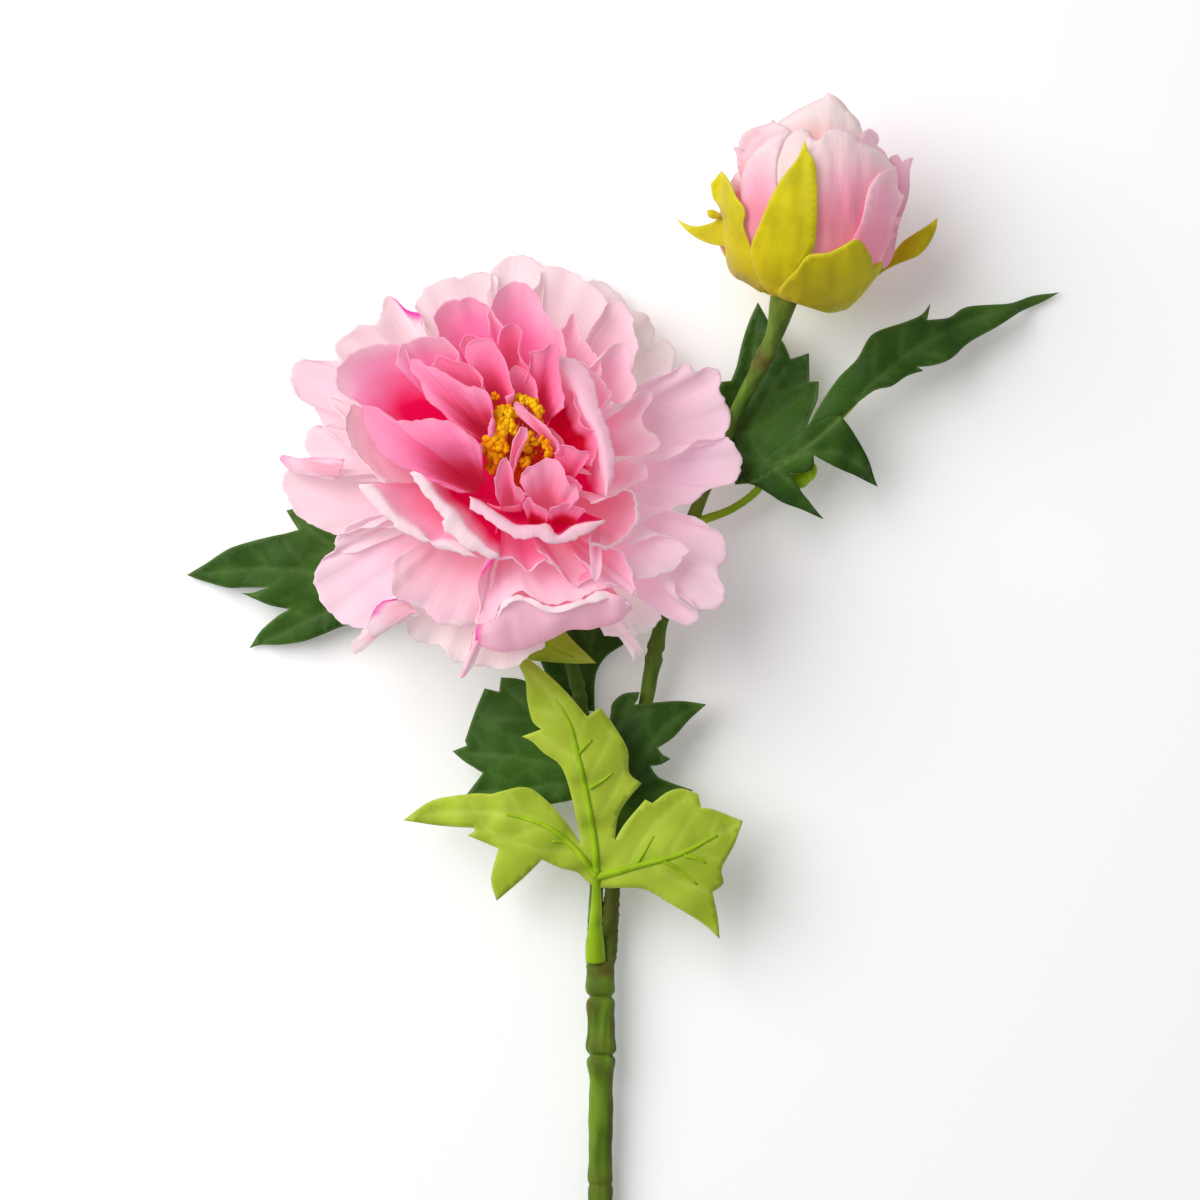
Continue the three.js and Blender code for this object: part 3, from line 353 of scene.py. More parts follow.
# Painted light: the petal cloth glows a little in its own colour, in place of light that passes through the thin cloth.
petalFace = dict(
    shine=0.12, sheen=0.04, sheenRough=0.45, rough=(0.3, 0.7, 0.62, 0.8), grainHeight=0.35, lineHeight=0.9,
    bump=(0.30, 0.0005))
leafFace = dict(shine=0.18, sheenRough=0.5, rough=(0.3, 0.7, 0.5, 0.66), bump=(0.35, 0.0006))
stemFace = dict(shine=0.14, bump=(0.5, 0.0007))


# Links a material's colour, roughness and bump.
def dress(tree, shader, colour, rough, height, bump):
    tree.links.new(colour, shader.inputs["Base Color"])
    if rough:
        tree.links.new(rough, shader.inputs["Roughness"])
    addBump(tree, shader, height, *bump)


def petalCloth(name, glow, **colours):
    finish, tree, shader = makeMaterial(
        name, Specular_IOR_Level=petalFace["shine"], Sheen_Weight=petalFace["sheen"],
        Sheen_Roughness=petalFace["sheenRough"], Emission_Strength=glow)
    grain = useGroup(tree, clothGrain, Scale=fibre["scale"])
    lines = useGroup(tree, petalLines, Count=fineLines["count"], Wander=fineLines["wander"])
    tint = useGroup(tree, petalTint, Mottle=grain["Mottle"], Lines=lines["Mask"], **colours)["Colour"]
    tree.links.new(tint, shader.inputs["Emission Color"])
    held = (1 - glow, 1 - glow, 1 - glow, 1)
    fine = times(tree, grain["Height"], petalFace["grainHeight"])
    dress(
        tree, shader, mixColour(tree, 1.0, tint, held, "MULTIPLY"), fade(tree, grain["Mottle"], *petalFace["rough"]),
        plus(tree, fine, times(tree, lines["Height"], petalFace["lineHeight"])), petalFace["bump"])
    return finish


def leafCloth(name, sheen, **look):
    finish, tree, shader = makeMaterial(
        name, Specular_IOR_Level=leafFace["shine"], Sheen_Weight=sheen, Sheen_Roughness=leafFace["sheenRough"])
    tint = useGroup(tree, leafTint, **look)
    rough = fade(tree, tint["Wear"], *leafFace["rough"])
    dress(tree, shader, tint["Colour"], rough, tint["Height"], leafFace["bump"])
    return finish


def stemPlastic(name, **look):
    finish, tree, shader = makeMaterial(name, Specular_IOR_Level=stemFace["shine"])
    mottle = useGroup(tree, stemMottle, **look)
    dress(tree, shader, mottle["Colour"], mottle["Gloss"], mottle["Height"], stemFace["bump"])
    return finish


# Golden powder glued on the heads. The value depth browns the threads, the core and the low heads, as painted shade.
flock = dict(
    shine=0.12, rough=0.75, grain=900.0, grainDetail=3.0, patch=220.0, patchSpan=(0.35, 0.68), darkest=0.9,
    gold=srgb(240, 168, 8), yellow=srgb(252, 206, 18), brown=srgb(208, 104, 8), bump=(0.7, 0.0006))


def makeFlock():
    finish, tree, shader = makeMaterial("stamenFlock", Specular_IOR_Level=flock["shine"], Roughness=flock["rough"])
    patch = fade(tree, noiseValue(tree, flock["patch"]), *flock["patchSpan"])
    # Painted shade: brown where depth is high.
    paintedShade = times(tree, readValue(tree, "depth"), flock["darkest"])
    body = layered(tree, flock["gold"], (patch, flock["yellow"]), (paintedShade, flock["brown"]))
    dress(tree, shader, body, None, noiseValue(tree, flock["grain"], flock["grainDetail"]), flock["bump"])
    return finish


wireLook = dict(
    grain=1500.0, detail=3.0, dark=srgb(120, 120, 118), light=srgb(170, 170, 166), rough=(0.2, 0.8, 0.28, 0.5),
    bump=(0.2, 0.0001))


def makeWireSteel():
    finish, tree, shader = makeMaterial("wireSteel", Metallic=1.0)
    drawn = noiseValue(tree, wireLook["grain"], wireLook["detail"])
    body = mixColour(tree, drawn, wireLook["dark"], wireLook["light"])
    dress(tree, shader, body, fade(tree, drawn, *wireLook["rough"]), drawn, wireLook["bump"])
    return finish


finishes = dict(
    bloomCloth=petalCloth(
        "bloomCloth", 0.30, White=srgb(246, 230, 230), Pink=srgb(255, 112, 180), Lilac=srgb(252, 206, 230),
        Deep=srgb(236, 0, 84), Pale=srgb(252, 224, 231), Stain=srgb(244, 60, 170)),
    heartCloth=petalCloth(
        "heartCloth", 0.26, White=srgb(255, 186, 206), Pink=srgb(255, 112, 166), Lilac=srgb(250, 150, 190),
        Deep=srgb(212, 0, 52), Pale=srgb(255, 170, 202), Stain=srgb(230, 40, 110)),
    budCloth=petalCloth(
        "budCloth", 0.28, White=srgb(244, 230, 224), Pink=srgb(252, 138, 182), Lilac=srgb(240, 176, 210),
        Deep=srgb(240, 112, 130), Pale=srgb(250, 222, 226), Stain=srgb(246, 130, 180)),
    limeCloth=leafCloth(
        "limeCloth", 0.05, Blade=srgb(178, 198, 56), Shade=srgb(160, 184, 42), Vein=srgb(202, 220, 92),
        Veining=0.55, Scale=60.0),
    darkCloth=leafCloth(
        "darkCloth", 0.02, Blade=srgb(60, 98, 24), Shade=srgb(40, 74, 14), Vein=srgb(104, 138, 66),
        Veining=0.32, Scale=45.0),
    sepalCloth=leafCloth(
        "sepalCloth", 0.04, Blade=srgb(218, 204, 14), Shade=srgb(192, 178, 2), Vein=srgb(236, 224, 70),
        Veining=0.3, Scale=70.0),
    ribPlastic=stemPlastic(
        "ribPlastic", Green=srgb(172, 206, 34), Dark=srgb(150, 188, 24), Brown=srgb(112, 148, 22),
        Browning=0.7, Scale=120.0),
    darkRib=stemPlastic(
        "darkRib", Green=srgb(96, 136, 44), Dark=srgb(70, 108, 34), Brown=srgb(90, 84, 40),
        Browning=0.2, Scale=120.0),
    stemPlastic=stemPlastic(
        "stemPlastic", Green=srgb(114, 146, 37), Dark=srgb(70, 102, 18), Brown=srgb(94, 56, 30),
        Browning=0.85, Scale=160.0),
    stalkPlastic=stemPlastic(
        "stalkPlastic", Green=srgb(122, 152, 50), Dark=srgb(74, 108, 32), Brown=srgb(104, 74, 42),
        Browning=0.6, Scale=160.0),
    stamenFlock=makeFlock(),
    wireSteel=makeWireSteel(),
)
print("finishes made")


# Number tools. Paths and outlines are arrays of points, and lengths are in millimetres.
def smoothStep(value, start, end):
    share = np.clip((value - start) / (end - start), 0, 1)
    return share * share * (3 - 2 * share)


def wave(value, length, phase):
    return np.sin(2 * math.pi * value / length + phase)


def bell(value, width):
    return np.exp(-((value / width) ** 2))


def pathSteps(path):
    return np.linalg.norm(np.diff(np.asarray(path, float), axis=0), axis=1)


def runAlong(steps):
    return np.concatenate([[0.0], np.cumsum(steps)])


def unit(vectors):
    return vectors / np.maximum(np.linalg.norm(vectors, axis=-1, keepdims=True), 1e-9)


# A smooth curve from here to there. leave and arrive are its slopes at the two ends.
def smoothSpan(u, here, there, leave, arrive):
    return ((2 * u**3 - 3 * u**2 + 1) * here + (u**3 - 2 * u**2 + u) * leave
            + (3 * u**2 - 2 * u**3) * there + (u**3 - u**2) * arrive)


# Even steps along a smooth curve through points.
def curveThrough(points, count):
    points = np.asarray(points, float)
    knots = runAlong(np.sqrt(pathSteps(points)))
    slopes = np.gradient(points, knots, axis=0)
    fine = np.linspace(0, knots[-1], 24 * len(points))
    slot = np.clip(np.searchsorted(knots, fine, side="right") - 1, 0, len(points) - 2)
    width = (knots[slot + 1] - knots[slot])[:, None]
    u = (fine - knots[slot])[:, None] / width
    curve = smoothSpan(u, points[slot], points[slot + 1], width * slopes[slot], width * slopes[slot + 1])
    run = runAlong(pathSteps(curve))
    want = np.linspace(0, run[-1], count)
    return np.stack([np.interp(want, run, curve[:, k]) for k in range(points.shape[1])], axis=1)


# A part is a closed piece of mesh: points, faces, which faces are smooth, and values kept at its points.
# A sheet has a grid of points as its middle surface.
def sheetPart(grid, thick, **values):
    rows, cols = grid.shape[:2]
    normal = unit(np.cross(np.gradient(grid, axis=0), np.gradient(grid, axis=1)))
    faceUp = 1 if normal[..., 2].mean() >= 0 else -1
    top = (grid + normal * faceUp * thick / 2).reshape(-1, 3)
    under = (grid - normal * faceUp * thick / 2).reshape(-1, 3)
    size = rows * cols
    n = np.arange(size).reshape(rows, cols)
    quads = np.stack([n[:-1, :-1], n[1:, :-1], n[1:, 1:], n[:-1, 1:]], axis=-1).reshape(-1, 4)
    border = np.concatenate([n[0, :-1], n[:-1, -1], n[-1, :0:-1], n[:0:-1, 0]])
    ahead = np.roll(border, -1)
    walls = np.stack([border, ahead, ahead + size, border + size], axis=-1)
    if faceUp < 0:
        quads, walls = quads[:, ::-1], walls[:, ::-1]
    faces = np.concatenate([quads, quads[:, ::-1] + size, walls]).tolist()
    even = np.arange(len(faces)) < 2 * len(quads)
    kept = {key: np.tile(np.broadcast_to(value, (rows, cols)).reshape(-1), 2) for key, value in values.items()}
    return dict(points=np.concatenate([top, under]), faces=faces, even=even, values=kept)


# A body through rings of points, closed at both ends.
def ringsPart(rings, start, end, **values):
    count, sides = rings.shape[:2]
    n = np.arange(count * sides).reshape(count, sides)
    beside = np.roll(n, -1, axis=1)
    faces = np.stack([n[:-1], beside[:-1], beside[1:], n[1:]], axis=-1).reshape(-1, 4).tolist()
    first, last = count * sides, count * sides + 1
    faces += [(first, beside[0, k], n[0, k]) for k in range(sides)]
    faces += [(last, n[-1, k], beside[-1, k]) for k in range(sides)]
    kept = {}
    for key, value in values.items():
        column = np.asarray(value, float)
        full = np.broadcast_to(column[:, None] if column.ndim == 1 else column, (count, sides))
        kept[key] = np.concatenate([full.reshape(-1), [full[0, 0], full[-1, 0]]])
    points = np.concatenate([rings.reshape(-1, 3), [start, end]])
    return dict(points=points, faces=faces, even=np.ones(len(faces), bool), values=kept)


# A rod through stations (x, y, z, radius). bump(turn, run) adds to the radius.
def rodPart(stations, sides, count, bump=None, **values):
    path = curveThrough(stations, count)
    along = np.gradient(path[:, :3], axis=0)
    along /= np.linalg.norm(along, axis=1, keepdims=True)
    up = np.array([0.0, 0.0, 1.0]) if abs(along[0][2]) < 0.9 else np.array([0.0, 1.0, 0.0])
    turn = (np.arange(sides) + 0.5) / sides * 2 * math.pi
    run = runAlong(pathSteps(path[:, :3]))
    rings = []
    for k in range(count):
        up = up - along[k] * np.dot(up, along[k])
        up = up / np.linalg.norm(up)
        side = np.cross(along[k], up)
        radius = path[k, 3] + (bump(turn, run[k]) if bump else 0)
        rings.append(path[k, :3] + (radius * np.cos(turn))[:, None] * up + (radius * np.sin(turn))[:, None] * side)
    return ringsPart(np.array(rings), path[0, :3], path[-1, :3], **values)


# A body turned round an axis from (radius, height) pairs. put lays it in place.
def turnedPart(profile, sides, put, **values):
    turn = np.arange(sides) / sides * 2 * math.pi
    rings = np.array([
        put(np.stack([radius * np.cos(turn), radius * np.sin(turn), np.full(sides, height)], axis=1))
        for radius, height in profile])
    return ringsPart(rings, rings[0].mean(axis=0), rings[-1].mean(axis=0), **values)


def makePiece(name, parts, finish, node):
    faces, columns, shift = [], {}, 0
    for part in parts:
        faces.extend([corner + shift for corner in face] for face in part["faces"])
        for key, column in part["values"].items():
            columns.setdefault(key, []).append((shift, column))
        shift += len(part["points"])
    points = np.concatenate([part["points"] for part in parts])
    mesh = bpy.data.meshes.new(name)
    mesh.from_pydata((points * 0.001 + planOrigin).tolist(), [], faces)
    mesh.polygons.foreach_set("use_smooth", np.concatenate([part["even"] for part in parts]))
    for key, runs in columns.items():
        full = np.zeros(shift)
        for start, column in runs:
            full[start:start + len(column)] = column
        mesh.attributes.new(key, "FLOAT", "POINT").data.foreach_set("value", full)
    mesh.materials.append(finishes[finish])
    mesh.update()
    piece = bpy.data.objects.new(name, mesh)
    bpy.context.scene.collection.objects.link(piece)
    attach(piece, "root")
    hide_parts(node)
    print(name, "made:", len(mesh.polygons), "faces")


# The open bloom. x and y are plan distances from its foot, and h is the height along its tilted axis.
bloom = dict(at=(-24.1, 32.4, 30.0), tilt=20.0, tableClear=0.35, thick=0.2)
tiltAngle = math.radians(bloom["tilt"])


def bloomPlace(points):
    points = np.asarray(points, float)
    placed = points.copy()
    placed[..., 0] += bloom["at"][0]
    placed[..., 1] += bloom["at"][1]
    placed[..., 2] = bloom["at"][2] - math.tan(tiltAngle) * points[..., 1] + points[..., 2] / math.cos(tiltAngle)
    return placed


# Lengths of the waves in the cloth, with shares and slants where two of them are laid together.
clothWaves = dict(
    ruffleShares=(0.62, 0.38), ruffleShort=0.47, ruffleSlants=(1.2, -1.6), ruffleGrows=1.8,
    foldShares=(0.6, 0.4), foldLengths=(9.0, 5.1), foldCrest=0.8,
    crumples=4, crumpleLength=7.0, crumpleStep=3.2, crumpleShare=0.35, crumpleSpan=(0.15, 0.6),
    curlFrom=0.84, curlLeast=0.55, curlWave=0.75, curlLength=17.0,
)


# Soft waves, lengthwise folds, crumples and a turned rim for the middle surface of a petal.
def shapeCloth(grid, petal, seed):
    rows, cols = grid.shape[:2]
    chance = random.Random(seed)
    phase = [chance.uniform(0, 2 * math.pi) for _ in range(12)]
    cloth = clothWaves
    s = np.linspace(0, 1, rows)[:, None]
    side = np.linspace(0, pathSteps(grid[-1]).sum(), cols)[None, :]
    out = s * pathSteps(grid[:, cols // 2]).sum()
    long = petal["waveLength"]
    ruffles = sum(
        share * wave(side, length, turn + slant * s) for share, length, turn, slant in zip(
            cloth["ruffleShares"], (long, cloth["ruffleShort"] * long), phase, cloth["ruffleSlants"]))
    folds = sum(
        share * wave(side, length, turn)
        for share, length, turn in zip(cloth["foldShares"], cloth["foldLengths"], phase[2:4]))
    lift = petal["ruffle"] * s ** cloth["ruffleGrows"] * ruffles
    lift = lift + petal["folds"] * np.sin(math.pi * s ** cloth["foldCrest"]) * folds
    deep = petal["crumple"] * smoothStep(s, *cloth["crumpleSpan"]) * cloth["crumpleShare"]
    for k in range(cloth["crumples"]):
        turn = phase[4 + k]
        across = side * math.cos(turn) + out * math.sin(turn)
        lift = lift + deep * wave(across, cloth["crumpleLength"] + cloth["crumpleStep"] * k, phase[8 + k])
    turned = np.clip((s - cloth["curlFrom"]) / (1 - cloth["curlFrom"]), 0, 1) ** 2
    lift = lift + petal["curl"] * turned * (
        cloth["curlLeast"] + cloth["curlWave"] * wave(side, cloth["curlLength"], phase[2]))
    normal = unit(np.cross(np.gradient(grid, axis=0), np.gradient(grid, axis=1)))
    return grid + normal * lift[..., None]


# rim, crest and lip are points (x, y, h). A petal leaves the hub at root, is pulled by a knee at low and ends at
# its rim. A turned rim runs on from a crest to the rim, and to a lip where there is one.
petalDefaults = dict(
    share=0.55, low=-3.0, cup=2.0, fan=1.0, root=-1.5, rootOut=6.5, foot=(0.0, 1.0), arch=1.0,
    ruffle=1.0, waveLength=19.0, folds=0.10, crumple=0.28, curl=0.5, rows=24, turnedShare=0.0, lipShare=0.0,
    blush=0.12, cool=0.4, depth=0.3, frost=0.4, stain=0.0, stainSpan=(-1, 2), rimDye=0.0, dyeReach=0.3,
    sideDye=0.0, dyeWide=0.06,
)
petalCut = dict(
    step=1.25, least=12, most=64, scallop=0.16, scallopWaves=(2.9, 4.3, 6.7), lastRows=(0.96, 0.985),
    eases=3, stainEdge=0.08, lineSpan=30.0, lipPale=0.25, palest=1.03, toneSpan=40)


def fittedPetal(petal, seed):
    length = pathSteps(petal["rim"]).sum()
    cols = int(max(petalCut["least"], min(petalCut["most"], length / petalCut["step"])))
    rim = curveThrough(petal["rim"], cols)
    chance = random.Random(seed + 500)
    t = np.linspace(0, 1, cols)
    foot = np.array(petal["foot"])
    arms = rim[:, :2] - foot
    middle = arms[cols // 2]
    sense = 1 if arms[0][0] * arms[-1][1] - arms[0][1] * arms[-1][0] > 0 else -1
    scallop = sum(
        petalCut["scallop"] * wave(t * length, short, chance.uniform(0, 6.3)) for short in petalCut["scallopWaves"])
    rim[:, :2] += unit(arms) * scallop[:, None]
    turn = math.atan2(middle[1], middle[0]) + (t - 0.5) * petal["fan"] * sense
    start = np.stack([
        foot[0] + petal["rootOut"] * np.cos(turn), foot[1] + petal["rootOut"] * np.sin(turn),
        np.full(cols, petal["root"])], axis=1)
    crest = curveThrough(petal["crest"], cols) if "crest" in petal else rim
    knee = start + (crest - start) * petal["share"]
    knee[:, 2] = petal["low"] + petal["cup"] * (2 * t - 1) ** 2
    nearEnd, nextEnd = petalCut["lastRows"]
    s = np.concatenate([np.linspace(0, nearEnd, petal["rows"] - 2), [nextEnd, 1.0]])[:, None, None]
    turned, lipped = petal["turnedShare"], petal["lipShare"]
    climb = np.minimum(s / (1 - turned - lipped), 1)
    grid = (1 - climb) ** 2 * start + 2 * climb * (1 - climb) * knee + climb**2 * crest
    if turned:
        over = np.clip((s - 1 + turned + lipped) / turned, 0, 1)
        grid = grid + over * (rim - crest)
        grid[..., 2] += petal["arch"] * np.sin(math.pi * over[..., 0])
    if lipped:
        over = np.clip((s - 1 + lipped) / lipped, 0, 1)
        grid = grid + over * (curveThrough(petal["lip"], cols) - rim)
    for _ in range(petalCut["eases"] if turned else 0):
        grid[1:-1] = grid[1:-1] * 0.5 + (grid[2:] + grid[:-2]) * 0.25
    grid = bloomPlace(shapeCloth(grid, {**petal, "curl": 0} if turned else petal, seed))
    grid[..., 2] = np.maximum(grid[..., 2], bloom["tableClear"])
    # The far side of a turned rim keeps the colour of the crest, and a lip is paler still.
    along = s[..., 0]
    if lipped:
        along = along + petalCut["lipPale"] * over[..., 0]
    elif turned:
        along = np.minimum(along / (1 - turned), petalCut["palest"])
    first, last = petal["stainSpan"]
    soft = petalCut["stainEdge"]
    within = smoothStep(t, first, first + soft) * (1 - smoothStep(t, last, last + soft))
    dye = petal["rimDye"] * within * smoothStep(s[..., 0], 1 - petal["dyeReach"], 1.0) + petal["sideDye"] * (
        1 - smoothStep(t, 0.0, petal["dyeWide"]))
    return sheetPart(
        grid, bloom["thick"], along=along, across=t * length / petalCut["lineSpan"],
        tone=chance.uniform(0, petalCut["toneSpan"]), blush=petal["blush"], cool=petal["cool"],
        depth=petal["depth"], frost=petal["frost"], stain=petal["stain"] * within, dye=dye)


def fittedRing(petals, defaults, firstSeed):
    return [
        fittedPetal({**petalDefaults, **defaults, **petal}, firstSeed + k) for k, petal in enumerate(petals.values())]


